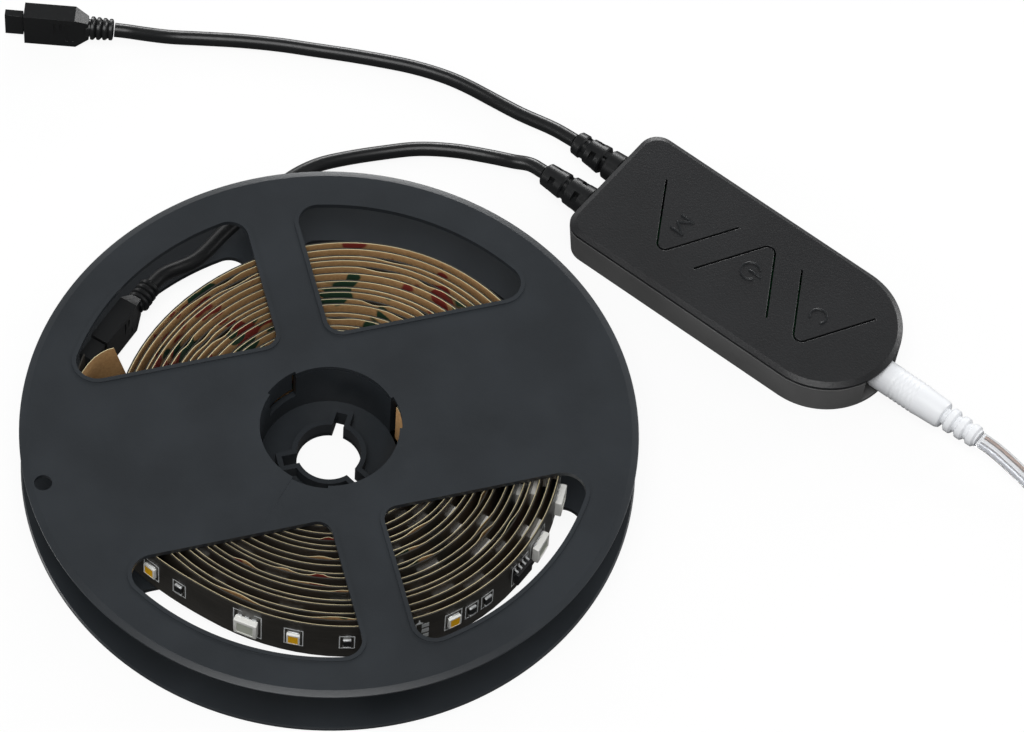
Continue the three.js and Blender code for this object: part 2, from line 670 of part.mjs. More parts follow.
// Lead from the plug in the reel, out between the flanges, to the controller
const ribsEnd = PLUG_L + PLUG_RIBS_L + GAP;
const reelLeadStart = reelPlugNose.map((value, i) => value + reelPlugAxis[i] * ribsEnd);
const reelLead = [
  [reelLeadStart[0], reelLeadStart[1], REEL_PLUG_Z],
  [reelLeadStart[0] + 3.2, reelLeadStart[1] + 2.3, REEL_PLUG_Z - 0.2],
  [-16.8, 52.7, 5.8],
  [-8.6, 59.1, 5],
  [1.1, 65.8, 4.2],
  [7.1, 69.6, 3.6],
  [11.4, 71.8, 3.1],
  [15.8, 73.2, 2.6],
  [21.4, 73.8, 2.1],
  [29.7, 73.8, LEAD_LOW],
  [37.9, 73, LEAD_LOW],
  [45.7, 70.7, LEAD_LOW],
  [52.6, 67.5, LEAD_LOW + 0.1],
  [57.2, 64.5, 2.6],
  fromController(-GLAND_L - 4.2, GLAND_Y[0], LEAD_Z - 0.5),
  fromController(-GLAND_L - GAP, GLAND_Y[0], LEAD_Z),
];
add('reel_lead', tube(reelLead, leadSection, 30), BLACK_MOULD, 0.45, 0, true);

// Free lead lying on the surface
const freeAxis = [Math.cos(rad(FREE_PLUG_AXIS_DEG)), Math.sin(rad(FREE_PLUG_AXIS_DEG))];
const freeExit = ribsEnd - PLUG_L / 2;
const freeAlong = (distance, z) => [
  FREE_PLUG_POS[0] + freeAxis[0] * (freeExit + distance),
  FREE_PLUG_POS[1] + freeAxis[1] * (freeExit + distance),
  z,
];
const spareLead = [
  freeAlong(0, PLUG_W / 2),
  freeAlong(3, PLUG_W / 2 - 0.2),
  [-13.9, 115.2, 3.6],
  [-8.4, 114.2, 2.1],
  [-1.9, 112.6, LEAD_LOW],
  [6.6, 110, LEAD_LOW],
  [14.9, 107, LEAD_LOW],
  [21.7, 104.1, LEAD_LOW],
  [29.4, 100.8, LEAD_LOW],
  [36.5, 97.5, LEAD_LOW],
  [41.6, 94.9, LEAD_LOW],
  [46.3, 92, LEAD_LOW],
  [49.8, 89.4, LEAD_LOW],
  [53.1, 86.4, LEAD_LOW],
  [57.6, 81.6, LEAD_LOW + 0.1],
  [61.9, 76.5, 2.5],
  fromController(-GLAND_L - 6, GLAND_Y[1], LEAD_Z - 0.7),
  fromController(-GLAND_L - GAP, GLAND_Y[1], LEAD_Z),
];
add('spare_lead', tube(spareLead, leadSection, 32), BLACK_MOULD, 0.45, 0, true);

// Flat twin cord: flat side down, out to a round coil, then a short tail with its socket
const cordSection = [
  [-CORD_T / 2, -CORD_W / 2 + 0.5], [-CORD_T / 2 + 0.4, -CORD_W / 2], [CORD_T / 2 - 0.4, -CORD_W / 2],
  [CORD_T / 2, -CORD_W / 2 + 0.5], [CORD_T / 2, CORD_W / 2 - 0.5], [CORD_T / 2 - 0.4, CORD_W / 2],
  [-CORD_T / 2 + 0.4, CORD_W / 2], [-CORD_T / 2, CORD_W / 2 - 0.5],
];
// The cord meets the coil in line with the middle of its turns
const COIL_POS = fromController(COIL_ALONG, COIL_ACROSS, 0);
const along = (deg) => [Math.cos(rad(deg)), Math.sin(rad(deg))];
const coilOuter = COIL_R + COIL_BAND / 2;
const coilReach = Math.sqrt(coilOuter ** 2 - (COIL_R - CORD_W / 2) ** 2) + GAP;

// Point on the straight line that touches the coil's middle turn while heading the given way
function coilTangent(headingDeg, distance, z) {
  const out = along(headingDeg - 90);
  const way = along(headingDeg);
  return [
    COIL_POS[0] + out[0] * COIL_R + way[0] * distance,
    COIL_POS[1] + out[1] * COIL_R + way[1] * distance,
    z,
  ];
}

const cordLow = CORD_T / 2 + 0.05;
const powerCord = [
  fromController(cordStart, 0, LEAD_Z),
  fromController(cordStart + 4, 0, LEAD_Z - 0.2),
  fromController(cordStart + 12.7, -0.6, 3),
  fromController(cordStart + 17.6, -1, 1.7),
  fromController(cordStart + 22.6, -1.2, cordLow + 0.1),
  coilTangent(CTRL_DEG, -coilReach, cordLow),
];
add('power_cord', tube(powerCord, cordSection, 14), WHITE_PVC, 0.3, 0, true);

// Coil: a plain ring in the middle of the turns, lying on the surface
const band = COIL_BAND / 2;
const coil = turned([
  [COIL_R - band, 2], [COIL_R - band + 2, 0], [COIL_R + band - 2, 0], [COIL_R + band, 2],
  [COIL_R + band, COIL_H - 2], [COIL_R + band - 2, COIL_H], [COIL_R - band + 2, COIL_H],
  [COIL_R - band, COIL_H - 2], [COIL_R - band, 2],
], 32);
add('power_cord_coil', coil.translate(COIL_POS[0], COIL_POS[1], 0), WHITE_PVC, 0.3, 0, true);

// Tie: a flat strap over the top and down both sides of the coil
const tieX = [COIL_R - band - 2 * GAP, COIL_R + band + GAP];
const tieOuter = toSolid(block([tieX[0] - 0.8, -2.5, 0], [tieX[1] + 0.8, 2.5, COIL_H + GAP + 0.8]));
const tieInner = toSolid(block([tieX[0], -4, -1], [tieX[1], 4, COIL_H + GAP]));
const tie = toGeometry(tieOuter.subtract(tieInner)).rotateZ(rad(60));
add('coil_tie', tie.translate(COIL_POS[0], COIL_POS[1], 0), 0xd8d9da, 0.5, 0, true);

// Short tail with an in-line barrel socket lying on the surface
const TAIL_HEADING = -18.5;
const SOCKET_R = 4.7;
const TAIL_L = 34;
const cordTail = [
  coilTangent(TAIL_HEADING, coilReach, COIL_H - 3.2),
  coilTangent(TAIL_HEADING, coilReach + 4, COIL_H - 4.6),
  coilTangent(TAIL_HEADING, coilReach + 13, cordLow + 0.8),
  coilTangent(TAIL_HEADING, coilReach + 20, cordLow + 0.8),
  coilTangent(TAIL_HEADING, coilReach + 29, SOCKET_R - 0.3),
  coilTangent(TAIL_HEADING, coilReach + TAIL_L, SOCKET_R),
];
add('power_cord_tail', tube(cordTail, cordSection, 12), WHITE_PVC, 0.3, 0, true);
const socket = turnedAlongX([
  [0, GAP], [2.4, GAP], [2.9, 6.8], [1.9, 7], [1.9, 8], [SOCKET_R - 1, 8], [SOCKET_R, 10],
  [SOCKET_R, 31], [SOCKET_R - 0.6, 31.6], [JACK_BORE_R, 31.6], [JACK_BORE_R, 21], [0, 21],
], 24);
const socketAt = coilTangent(TAIL_HEADING, coilReach + TAIL_L, SOCKET_R);
add('power_socket', placed(socket, ...socketAt, TAIL_HEADING), WHITE_PVC, 0.4, 0, true);

// Own origin: middle of the reel and controller's bounding box, at its lowest level
const box = new THREE.Box3();
for (const mesh of group.children) {
  mesh.geometry.computeBoundingBox();
  if (!cordNodes.has(mesh.name)) box.union(mesh.geometry.boundingBox);
}
const centre = box.getCenter(new THREE.Vector3());
for (const mesh of group.children) {
  mesh.geometry.translate(-centre.x, -centre.y, -box.min.z);
}

export default group;
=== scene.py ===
# %% [markdown]
# A reel of colour light strip lies on a white table with its small controller and its leads.
# The measured model comes in first and never changes. Everything after it is the dressing:
# rounder edges, real wire, soldered parts and the finish of each plastic.

# %% Load the measured model
import math
import random
import bpy
from mathutils import Matrix, Vector


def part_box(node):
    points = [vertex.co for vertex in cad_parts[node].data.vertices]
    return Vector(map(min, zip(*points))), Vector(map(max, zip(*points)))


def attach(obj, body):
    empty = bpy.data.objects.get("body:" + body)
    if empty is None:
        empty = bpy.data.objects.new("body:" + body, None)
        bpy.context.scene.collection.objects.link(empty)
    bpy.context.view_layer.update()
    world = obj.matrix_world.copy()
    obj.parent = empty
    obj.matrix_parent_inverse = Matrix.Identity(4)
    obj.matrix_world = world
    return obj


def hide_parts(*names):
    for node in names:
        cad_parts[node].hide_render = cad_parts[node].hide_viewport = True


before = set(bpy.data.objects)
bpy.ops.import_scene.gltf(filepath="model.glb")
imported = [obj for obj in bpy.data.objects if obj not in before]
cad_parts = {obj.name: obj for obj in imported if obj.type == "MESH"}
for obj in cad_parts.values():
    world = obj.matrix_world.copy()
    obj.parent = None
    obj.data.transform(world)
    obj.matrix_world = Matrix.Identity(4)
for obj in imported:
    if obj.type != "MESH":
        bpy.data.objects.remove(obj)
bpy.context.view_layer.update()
bpy.ops.object.select_all(action="DESELECT")
print("measured parts:", len(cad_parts))

# %% [markdown]
# All sizes below are in millimetres, measured from the reel's axis or from the middle of the
# controller's lead end. Two small functions turn them into places in the model. The reel's axis is
# read from the lower half, so the dressing follows the model if that ever moves.

# %% Places
MM = 0.001
low, high = (Vector(corner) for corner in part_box("reel_lower"))
AXIS = (low + high) / 2
BOX_AT = (74.8, 51.4)
BOX_TURN = math.radians(-52.85)


def on_reel(x, y, z=0.0):
    return Vector((AXIS.x + x * MM, AXIS.y + y * MM, z * MM))


def reel_xy(along, across):
    c, s = math.cos(BOX_TURN), math.sin(BOX_TURN)
    return BOX_AT[0] + along * c - across * s, BOX_AT[1] + along * s + across * c


def on_box(along, across, z=0.0):
    return on_reel(*reel_xy(along, across), z)


print("reel axis at", [round(v, 4) for v in AXIS])

# %% [markdown]
# The camera stands where the photographer stood: well above, a long way off with a long lens, and
# tilted a little. A long lens keeps the two flanges almost the same size, which is what makes the
# reel look like a flat disc. Its place is worked out from the point it looks at.

# %% Camera
ELEVATION, SIDEWAYS, ROLL = math.radians(57.344), math.radians(18.5), math.radians(4.588)
LOOK_AT, DISTANCE, LENS = (44.044, 14.750), 1.2478, 204.6
forward = Vector((
    math.sin(SIDEWAYS) * math.cos(ELEVATION),
    math.cos(SIDEWAYS) * math.cos(ELEVATION),
    -math.sin(ELEVATION),
))
level_right = Vector((math.cos(SIDEWAYS), -math.sin(SIDEWAYS), 0))
level_up = level_right.cross(forward)
right = level_right * math.cos(ROLL) + level_up * math.sin(ROLL)
up = level_up * math.cos(ROLL) - level_right * math.sin(ROLL)
bpy.ops.object.camera_add(location=on_reel(*LOOK_AT) - forward * DISTANCE)
camera = bpy.context.active_object
camera.rotation_euler = Matrix((right, up, -forward)).transposed().to_euler()
camera.data.lens, camera.data.clip_start, camera.data.clip_end = LENS, 0.05, 20
bpy.context.scene.camera = camera
print("camera at", [round(v, 3) for v in camera.location])

# %% [markdown]
# Materials are built from nodes. Colours are written as the hex codes a paint chart would give and
# turned to linear light by one function. Another adds a node with its settings and its links, so
# each recipe reads from top to bottom. A link that names a node takes that node's first output.

# %% Colour and node helpers
def linear(code, alpha=1.0):
    parts = [int(code[i:i + 2], 16) / 255 for i in (1, 3, 5)]
    return (*[c / 12.92 if c <= 0.04045 else ((c + 0.055) / 1.055) ** 2.4 for c in parts], alpha)


def feed(tree, made, links):
    for name, source in links.items():
        tree.links.new(source.outputs[0] if hasattr(source, "outputs") else source, made.inputs[name])
    return made


def node(tree, kind, settings=None, links=None):
    made = tree.nodes.new("ShaderNode" + kind)
    for name, value in (settings or {}).items():
        if isinstance(name, str) and hasattr(made, name):
            setattr(made, name, value)
        else:
            made.inputs[name].default_value = value
    return feed(tree, made, links or {})


def emptied(block):
    block.use_nodes = True
    block.node_tree.nodes.clear()
    return block.node_tree


def new_finish(name, constants):
    finish = bpy.data.materials.new(name)
    tree = emptied(finish)
    shader = node(tree, "BsdfPrincipled", constants)
    node(tree, "OutputMaterial", links={"Surface": shader})
    return finish, tree, shader, node(tree, "TexCoord").outputs


# %% [markdown]
# Most of this object is moulded plastic. A steel mould leaves its own skin on the plastic: fine
# sparked pits for a grippy cover, a soft satin for the reel. Under that the colour drifts a little
# where the melt cooled unevenly. Grain is the pit spacing in millimetres and depth its height.

# %% Moulded plastic recipe
def moulded(name, code, roughness, grain, depth, drift=0.12, ior=1.5):
    finish, tree, shader, at = new_finish(name, {"IOR": ior})
    place = {"Vector": at["Object"]}
    pits = node(tree, "TexNoise", {"Scale": 1000 / grain, "Detail": 3.0}, place)
    cloud = node(tree, "TexNoise", {"Scale": 60.0, "Detail": 3.0}, place)
    base = linear(code)
    ramp = node(tree, "ValToRGB", links={"Fac": cloud})
    for end, position, share in zip(ramp.color_ramp.elements, (0.35, 0.65), (1 - drift, 1 + drift)):
        end.position = position
        end.color = (*[min(1, c * share) for c in base[:3]], 1)
    gloss = node(tree, "MapRange", {"To Min": roughness - 0.06, "To Max": roughness + 0.06},
                 {"Value": pits})
    bump = node(tree, "Bump", {"Strength": 1.0, "Distance": depth * MM}, {"Height": pits})
    feed(tree, shader, {"Base Color": ramp, "Roughness": gloss, "Normal": bump})
    return finish


# High-impact polystyrene, satin mould: charcoal, soft broad highlights
reel_styrene = moulded("satin_polystyrene", "#272b2f", 0.35, 0.5, 0.01)
# ABS with a spark-eroded texture: pits near 0.45 mm, drawn a little coarse, hardly any shine
cover_abs = moulded("sparked_abs", "#1b1c1e", 0.42, 0.45, 0.05)
# ABS from a smoother mould: lighter, with finer and shallower pits
base_abs = moulded("satin_abs", "#686868", 0.4, 0.4, 0.01)
# Plasticised PVC of leads and plugs: near black, waxy shine
black_pvc = moulded("black_pvc", "#191a1b", 0.32, 0.8, 0.012)
# Milk-white PVC of the barrel plug
white_pvc = moulded("white_pvc", "#eaecef", 0.38, 0.8, 0.01, 0.02)
# Nylon of the tie round the coil
tie_nylon = moulded("natural_nylon", "#dcdcd6", 0.4, 0.6, 0.01, 0.04)
# Epoxy moulding compound of the chips, faintly sandy
chip_epoxy = moulded("chip_epoxy", "#1b1c1d", 0.5, 0.12, 0.004)
# Glass-fibre board under green solder mask
green_board = moulded("green_solder_mask", "#1e5a36", 0.35, 0.3, 0.006)
# Printed sleeve of an electrolytic capacitor
sleeve_pvc = moulded("blue_sleeve", "#2b3350", 0.32, 0.6, 0.004)
print("plastics:", len(bpy.data.materials))

# %% [markdown]
# A cord has one real length. Its route is a short list of points that a smooth curve passes through,
# and the curve is then cut into many short steps. The leads are round, so each is a curve with a
# round bevel. Points that lie on the table are a radius above it.

# %% Routes of the leads
LEAD_R, LYING, LEAD_Z = 1.6, 1.66, 4.8


def smooth_route(points, steps):
    points = [Vector(p) for p in points]
    ends = [2 * points[0] - points[1], *points, 2 * points[-1] - points[-2]]
    route = []
    for i in range(1, len(ends) - 2):
        p0, p1, p2, p3 = ends[i - 1:i + 3]
        t1 = (p1 - p0).length ** 0.5
        t2 = t1 + (p2 - p1).length ** 0.5
        t3 = t2 + (p3 - p2).length ** 0.5
        for k in range(steps):
            t = t1 + (t2 - t1) * k / steps
            a1 = p0 * ((t1 - t) / t1) + p1 * (t / t1)
            a2 = p1 * ((t2 - t) / (t2 - t1)) + p2 * ((t - t1) / (t2 - t1))
            a3 = p2 * ((t3 - t) / (t3 - t2)) + p3 * ((t - t2) / (t3 - t2))
            b1 = a1 * ((t2 - t) / t2) + a2 * (t / t2)
            b2 = a2 * ((t3 - t) / (t3 - t1)) + a3 * ((t - t1) / (t3 - t1))
            route.append(b1 * ((t2 - t) / (t2 - t1)) + b2 * ((t - t1) / (t2 - t1)))
    return [*route, points[-1]]


def route_length(route):
    return sum((b - a).length for a, b in zip(route, route[1:]))


def lead(name, route, radius):
    line = bpy.data.curves.new(name, "CURVE")
    line.dimensions = "3D"
    line.bevel_depth = radius * MM
    line.bevel_resolution = 6
    line.use_fill_caps = True
    spline = line.splines.new("POLY")
    spline.points.add(len(route) - 1)
    for point, at in zip(spline.points, route):
        point.co = (*at, 1)
    spline.use_smooth = True
    piece = bpy.data.objects.new(name, line)
    bpy.context.collection.objects.link(piece)
    return piece


def off(x, y, turn, distance):
    return x + distance * math.cos(turn), y + distance * math.sin(turn)


PLUG_L, RIBS_L, NOSE_REACH, REEL_PLUG_Z = 14.2, 5.4, 6.75, 6.3
REEL_PLUG_TURN, SPARE_TURN, SPARE_PLUG_AT = math.radians(43.9), math.radians(-18.5), (-32.4, 120.95)
RIBS_END = PLUG_L + RIBS_L + 0.3
REEL_ACROSS, SPARE_ACROSS, GLAND_TIP = -5.3, 5.6, -13.0
reel_nose = off(*off(0, 0, math.radians(133.4), 53.8), REEL_PLUG_TURN, -NOSE_REACH)
start_x, start_y = off(*reel_nose, REEL_PLUG_TURN, RIBS_END)
reel_route = smooth_route([on_reel(*point) for point in (
    (start_x, start_y, REEL_PLUG_Z), (start_x + 3.2, start_y + 2.3, 6.1), (-16.8, 52.7, 5.8),
    (-8.6, 59.1, 5.0), (1.1, 65.8, 4.2), (7.1, 69.6, 3.6), (11.4, 71.8, 3.1), (15.8, 73.2, 2.6),
    (21.4, 73.8, 2.1), (29.7, 73.8, LYING), (37.9, 73, LYING), (45.7, 70.7, LYING),
    (52.6, 67.5, 1.76), (57.2, 64.5, 2.6),
)] + [on_box(-16.9, REEL_ACROSS, 4.3), on_box(GLAND_TIP, REEL_ACROSS, LEAD_Z)], 6)
spare_start = RIBS_END - PLUG_L / 2
spare_route = smooth_route([on_reel(*point) for point in (
    (*off(*SPARE_PLUG_AT, SPARE_TURN, spare_start), LEAD_Z),
    (*off(*SPARE_PLUG_AT, SPARE_TURN, spare_start + 3), 4.6), (-13.9, 115.2, 3.6), (-8.4, 114.2, 2.1),
    (-1.9, 112.6, LYING), (6.6, 110, LYING), (14.9, 107, LYING), (21.7, 104.1, LYING),
    (29.4, 100.8, LYING), (36.5, 97.5, LYING), (41.6, 94.9, LYING), (46.3, 92, LYING),
    (49.8, 89.4, LYING), (53.1, 86.4, LYING), (57.6, 81.6, 1.76), (61.9, 76.5, 2.5),
)] + [on_box(-18.7, SPARE_ACROSS, 4.1), on_box(GLAND_TIP, SPARE_ACROSS, LEAD_Z)], 5)
reel_lead = lead("reel_lead_wire", reel_route, LEAD_R)
spare_lead = lead("spare_lead_wire", spare_route, LEAD_R)
print("leads in mm:", [round(route_length(r) / MM) for r in (reel_route, spare_route)])

# %% [markdown]
# The power cord is a flat twin: two stranded cores side by side in clear PVC, 3.7 mm wide and 1.9 mm
# thick. It lies flat on the table. What the picture does not show is wound into a coil of flat turns,
# two beside each other and five layers high, held by a tie.

# %% Route of the power cord
CORD_W, CORD_T = 3.7, 1.9
DC_X, DC_GRIP_L, DC_RINGS_L = 72.7, 18.5, 8.9
CORD_FROM = DC_X + DC_GRIP_L + DC_RINGS_L + 0.3
COIL_AT, COIL_R, OUTER_R, FLOOR_Z = (178.5, -54.5), 20.0, 21.95, 1.0
COLUMN_STEP, LAYER_STEP, FAR_HEADING = 3.85, 1.93, -18.5


def off_coil(heading, distance, z, radius=COIL_R):
    start = off(*COIL_AT, math.radians(heading - 90), radius)
    return on_reel(*off(*start, math.radians(heading), distance), z)


def ease(t):
    t = min(1.0, max(0.0, t))
    return t * t * (3 - 2 * t)


ENTRY = math.degrees(BOX_TURN) - 90
EXIT = FAR_HEADING - 90
TURNS = 8 + (EXIT - ENTRY) / 360
coil_points = []
for i in range(int(TURNS * 36) + 1):
    turn = i / 36
    column = sum(ease((turn - k + 0.3) / 0.3) * (-1) ** n for n, k in enumerate((1, 3, 5, 7)))
    layer = sum(ease((turn - k + 0.3) / 0.3) for k in (2, 4, 6, 8))
    here = off(*COIL_AT, math.radians(ENTRY + 360 * turn), OUTER_R - COLUMN_STEP * column)
    coil_points.append(on_reel(*here, FLOOR_Z + LAYER_STEP * layer))
cord_route = smooth_route([
    on_box(CORD_FROM, 0, LEAD_Z), on_box(CORD_FROM + 4, 0, 4.6), on_box(113.1, -0.6, 3),
    on_box(118, -1, 1.7), on_box(123, -1.2, 1.1),
    off_coil(math.degrees(BOX_TURN), -14, FLOOR_Z, OUTER_R),
], 6)[:-1] + coil_points + smooth_route([off_coil(FAR_HEADING, *point) for point in (
    (6, 8.7, 21.9), (14, 7.6, 21.6), (22, 4.6, 21), (30, 2.4, 20.3), (38, 2.6), (45, 4.2), (51, 4.7),
)], 4)

# %% [markdown]
# The jacket of a twin cord is swept: one outline, two round lobes with a waist between them, is
# carried along the route and stays level. The cores are two thinner round sweeps inside it, one of
# bare copper strands and one of tinned strands.

# %% Sweep the cord
def sweep(name, route, section):
    rings, count = [], len(section)
    for i, at in enumerate(route):
        ahead = (route[min(i + 1, len(route) - 1)] - route[max(i - 1, 0)]).normalized()
        side = Vector((0, 0, 1)).cross(ahead).normalized()
        top = ahead.cross(side)
        rings += [at + side * (w * MM) + top * (h * MM) for w, h in section]
    faces = []
    for i in range(len(route) - 1):
        for k in range(count):
            a, b = i * count + k, i * count + (k + 1) % count
            faces.append((a, b, b + count, a + count))
    faces.append(tuple(reversed(range(count))))
    faces.append(tuple(range(len(rings) - count, len(rings))))
    mesh = bpy.data.meshes.new(name)
    mesh.from_pydata(rings, [], faces)
    layer = mesh.uv_layers.new(name="along").data
    run = [0.0]
    for a, b in zip(route, route[1:]):
        run.append(run[-1] + (b - a).length / MM)
    for loop in mesh.loops:
        layer[loop.index].uv = ((loop.vertex_index % count) / count, run[loop.vertex_index // count])
    piece = bpy.data.objects.new(name, mesh)
    bpy.context.collection.objects.link(piece)
    tidy_normals(piece)
    return piece


def alone(piece):
    if bpy.context.mode != "OBJECT":
        bpy.ops.object.mode_set(mode="OBJECT")
    bpy.ops.object.select_all(action="DESELECT")
    piece.select_set(True)
    bpy.context.view_layer.objects.active = piece


def tidy_normals(piece, doubles=0.0005):
    alone(piece)
    bpy.ops.object.mode_set(mode="EDIT")
    bpy.ops.mesh.select_all(action="SELECT")
    bpy.ops.mesh.remove_doubles(threshold=doubles * MM)
    bpy.ops.mesh.delete_loose(use_verts=True, use_edges=True, use_faces=False)
    bpy.ops.mesh.select_all(action="SELECT")
    bpy.ops.mesh.normals_make_consistent(inside=False)
    bpy.ops.object.mode_set(mode="OBJECT")


def ring_of(radius, count, across=0.0):
    turn = 2 * math.pi / count
    return [(across + radius * math.cos(turn * k), radius * math.sin(turn * k)) for k in range(count)]


HALF_W, HALF_T, WAIST, WAIST_W, CORE_R, CORE_OFF = 1.85, 0.93, 0.22, 0.35, 0.46, 0.92
lobes = []
for w, h in ring_of(1, 24):
    half_t = HALF_T - WAIST * math.exp(-(w * HALF_W / WAIST_W) ** 2)
    lobes.append((HALF_W * math.copysign(abs(w) ** 0.75, w), half_t * math.copysign(abs(h) ** 0.75, h)))
jacket = sweep("power_cord_jacket", cord_route, lobes)
copper_core = sweep("power_cord_copper", cord_route[1:-1], ring_of(CORE_R, 8, CORE_OFF))
tinned_core = sweep("power_cord_tinned", cord_route[1:-1], ring_of(CORE_R, 8, -CORE_OFF))
print("jacket corners:", len(jacket.data.vertices))

# %% [markdown]
# Clear plasticised PVC lets light through but is never quite clean, so it is a rough glass with a
# faint grey cast. The strands under it are bare metal, twisted once in about nine millimetres, which
# the stripes on their own length-wise map show. The darker bands of these stripes are painted shade,
# standing for the shadow in the grooves between the twisted strands.

# %% Cord finishes
def clear_pvc_finish():
    finish, tree, shader, at = new_finish(
        "clear_pvc", {"Base Color": linear("#f2f4f7"), "IOR": 1.5, "Transmission Weight": 0.8})
    haze = node(tree, "TexNoise", {"Scale": 900.0, "Detail": 2.0}, {"Vector": at["Object"]})
    gloss = node(tree, "MapRange", {"To Min": 0.12, "To Max": 0.24}, {"Value": haze})
    feed(tree, shader, {"Roughness": gloss})
    return finish


def strands_finish(name, code):
    finish, tree, shader, at = new_finish(name, {"Metallic": 0.9, "Roughness": 0.35})
    skew = node(tree, "Mapping", {"Rotation": (0, 0, 0.35), "Scale": (7.0, 0.11, 1)},
                {"Vector": at["UV"]})
    painted_groove_shade = node(tree, "TexWave", {"Scale": 1.0, "Distortion": 0.2},
                  {"Vector": skew})
    # The dark end of this ramp is painted shade for the grooves between strands; the light end is the metal's
    # own colour
    ramp = node(tree, "ValToRGB", links={"Fac": painted_groove_shade.outputs["Fac"]})
    ramp.color_ramp.elements[0].color = tuple(c * 0.45 for c in linear(code)[:3]) + (1,)
    ramp.color_ramp.elements[1].color = linear(code)
    feed(tree, shader, {"Base Color": ramp})
    return finish


clear_pvc = clear_pvc_finish()
copper_strands = strands_finish("bare_copper_strands", "#a98a76")
tinned_strands = strands_finish("tinned_strands", "#dfe1e6")


def settle(piece, name, finish, body="root", replaced=(), smooth=40):
    alone(piece)
    piece.name = piece.data.name = name
    if piece.type == "MESH":
        bpy.ops.object.transform_apply(location=True, rotation=True, scale=True)
        bpy.ops.object.shade_smooth_by_angle(angle=math.radians(smooth))
        for face in piece.data.polygons:
            face.use_smooth = abs(face.normal.z) < 0.9999
        even = piece.modifiers.new("even", "WEIGHTED_NORMAL")
        even.weight, even.keep_sharp = 100, True
        bpy.ops.object.modifier_apply(modifier=even.name)
    if finish:
        piece.data.materials.clear()
        piece.data.materials.append(finish)
    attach(piece, body)
    if replaced:
        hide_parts(*replaced)


settle(reel_lead, "reel_lead_wire", black_pvc, replaced=["reel_lead"])
settle(spare_lead, "spare_lead_wire", black_pvc, replaced=["spare_lead"])
settle(jacket, "power_cord_jacket", clear_pvc,
       replaced=["power_cord", "power_cord_coil", "power_cord_tail"], smooth=60)
settle(copper_core, "power_cord_copper", copper_strands, smooth=60)
settle(tinned_core, "power_cord_tinned", tinned_strands, smooth=60)

# %% [markdown]
# Many parts here were turned or have a round form: plugs, glands, the hub. A turned part starts as
# half of its outline, drawn as a loop of points, and is spun once round its axis. The ends of the
# loop that lie on the axis close up, and doubled corners are merged before the faces are turned out.

# %% Turned and flat starts
def turned(profile, steps=48):
    bpy.ops.mesh.primitive_circle_add(vertices=len(profile), radius=1, fill_type="NOTHING")
    piece = bpy.context.active_object
    for corner, (radius, height) in zip(piece.data.vertices, profile):
        corner.co = (radius * MM, 0, height * MM)
    bpy.ops.object.mode_set(mode="EDIT")
    bpy.ops.mesh.select_all(action="SELECT")
    bpy.ops.mesh.spin(steps=steps, angle=2 * math.pi, center=(0, 0, 0), axis=(0, 0, 1))
    bpy.ops.object.mode_set(mode="OBJECT")
    tidy_normals(piece)
    return piece


def plate(outline, bottom, top):
    bpy.ops.mesh.primitive_circle_add(vertices=len(outline), radius=1, fill_type="NGON")
    piece = bpy.context.active_object
    for corner, (x, y) in zip(piece.data.vertices, outline):
        corner.co = (x * MM, y * MM, bottom * MM)
    bpy.ops.object.mode_set(mode="EDIT")
    bpy.ops.mesh.select_all(action="SELECT")
    bpy.ops.mesh.extrude_region_move(TRANSFORM_OT_translate={"value": (0, 0, (top - bottom) * MM)})
    bpy.ops.object.mode_set(mode="OBJECT")
    tidy_normals(piece)
    return piece


def brick(lowest, highest):
    (x0, y0, z0), (x1, y1, z1) = lowest, highest
    return plate([(x0, y0), (x1, y0), (x1, y1), (x0, y1)], z0, z1)


def shape_by(piece, others, how="DIFFERENCE"):
    for other in others:
        change = piece.modifiers.new("shape", "BOOLEAN")
        change.object, change.operation, change.solver = other, how, "EXACT"
        alone(piece)
        bpy.ops.object.modifier_apply(modifier=change.name)
        bpy.data.objects.remove(other, do_unlink=True)
    return piece


def soften(piece, width, steps=3, angle=35):
    edge = piece.modifiers.new("edge", "BEVEL")
    edge.width, edge.segments = width * MM, steps
    edge.limit_method, edge.angle_limit = "ANGLE", math.radians(angle)
    edge.use_clamp_overlap, edge.loop_slide = True, False
    alone(piece)
    bpy.ops.object.modifier_apply(modifier=edge.name)
    return piece


def stand(piece, where, turn=0.0):
    piece.data.transform(Matrix.Translation(where) @ Matrix.Rotation(turn, 4, "Z"))
    return piece


def tipped(piece, axis="Y"):
    piece.data.transform(Matrix.Rotation(math.pi / 2, 4, axis))
    return piece


def joined(pieces):
    alone(pieces[0])
    for piece in pieces[1:]:
        piece.select_set(True)
    if len(pieces) > 1:
        bpy.ops.object.join()
    return bpy.context.active_object


def arc(x, y, radius, start, end, steps):
    return [off(x, y, math.radians(start + (end - start) * i / steps), radius) for i in range(steps + 1)]


# %% [markdown]
# A reel is two moulded halves that snap together in the hub. Each half is a thin disc with four
# windows. A window is a piece of a ring between two spokes, with rounded corners, and on the upper
# face a low round lip runs along its edge. Disc and lip are shaped first, then the windows and the
# hub are cut, and a small bevel rounds every edge as the mould does.

# %% Window outline
REEL_R, REEL_H, FLANGE_T, HANG_R = 65.0, 15.0, 1.2, 1.9
SPOKE, BAR, WINDOW_R, LIP_W, LIP_H = 5.6, 22.2, 55.9, 0.9, 0.25
HUB_R, HUB_OUT, NOTCH_DEG, FINGER_DEG = 14.7, 16.0, 30, 25
ORIGIN = Vector((0, 0, 0))


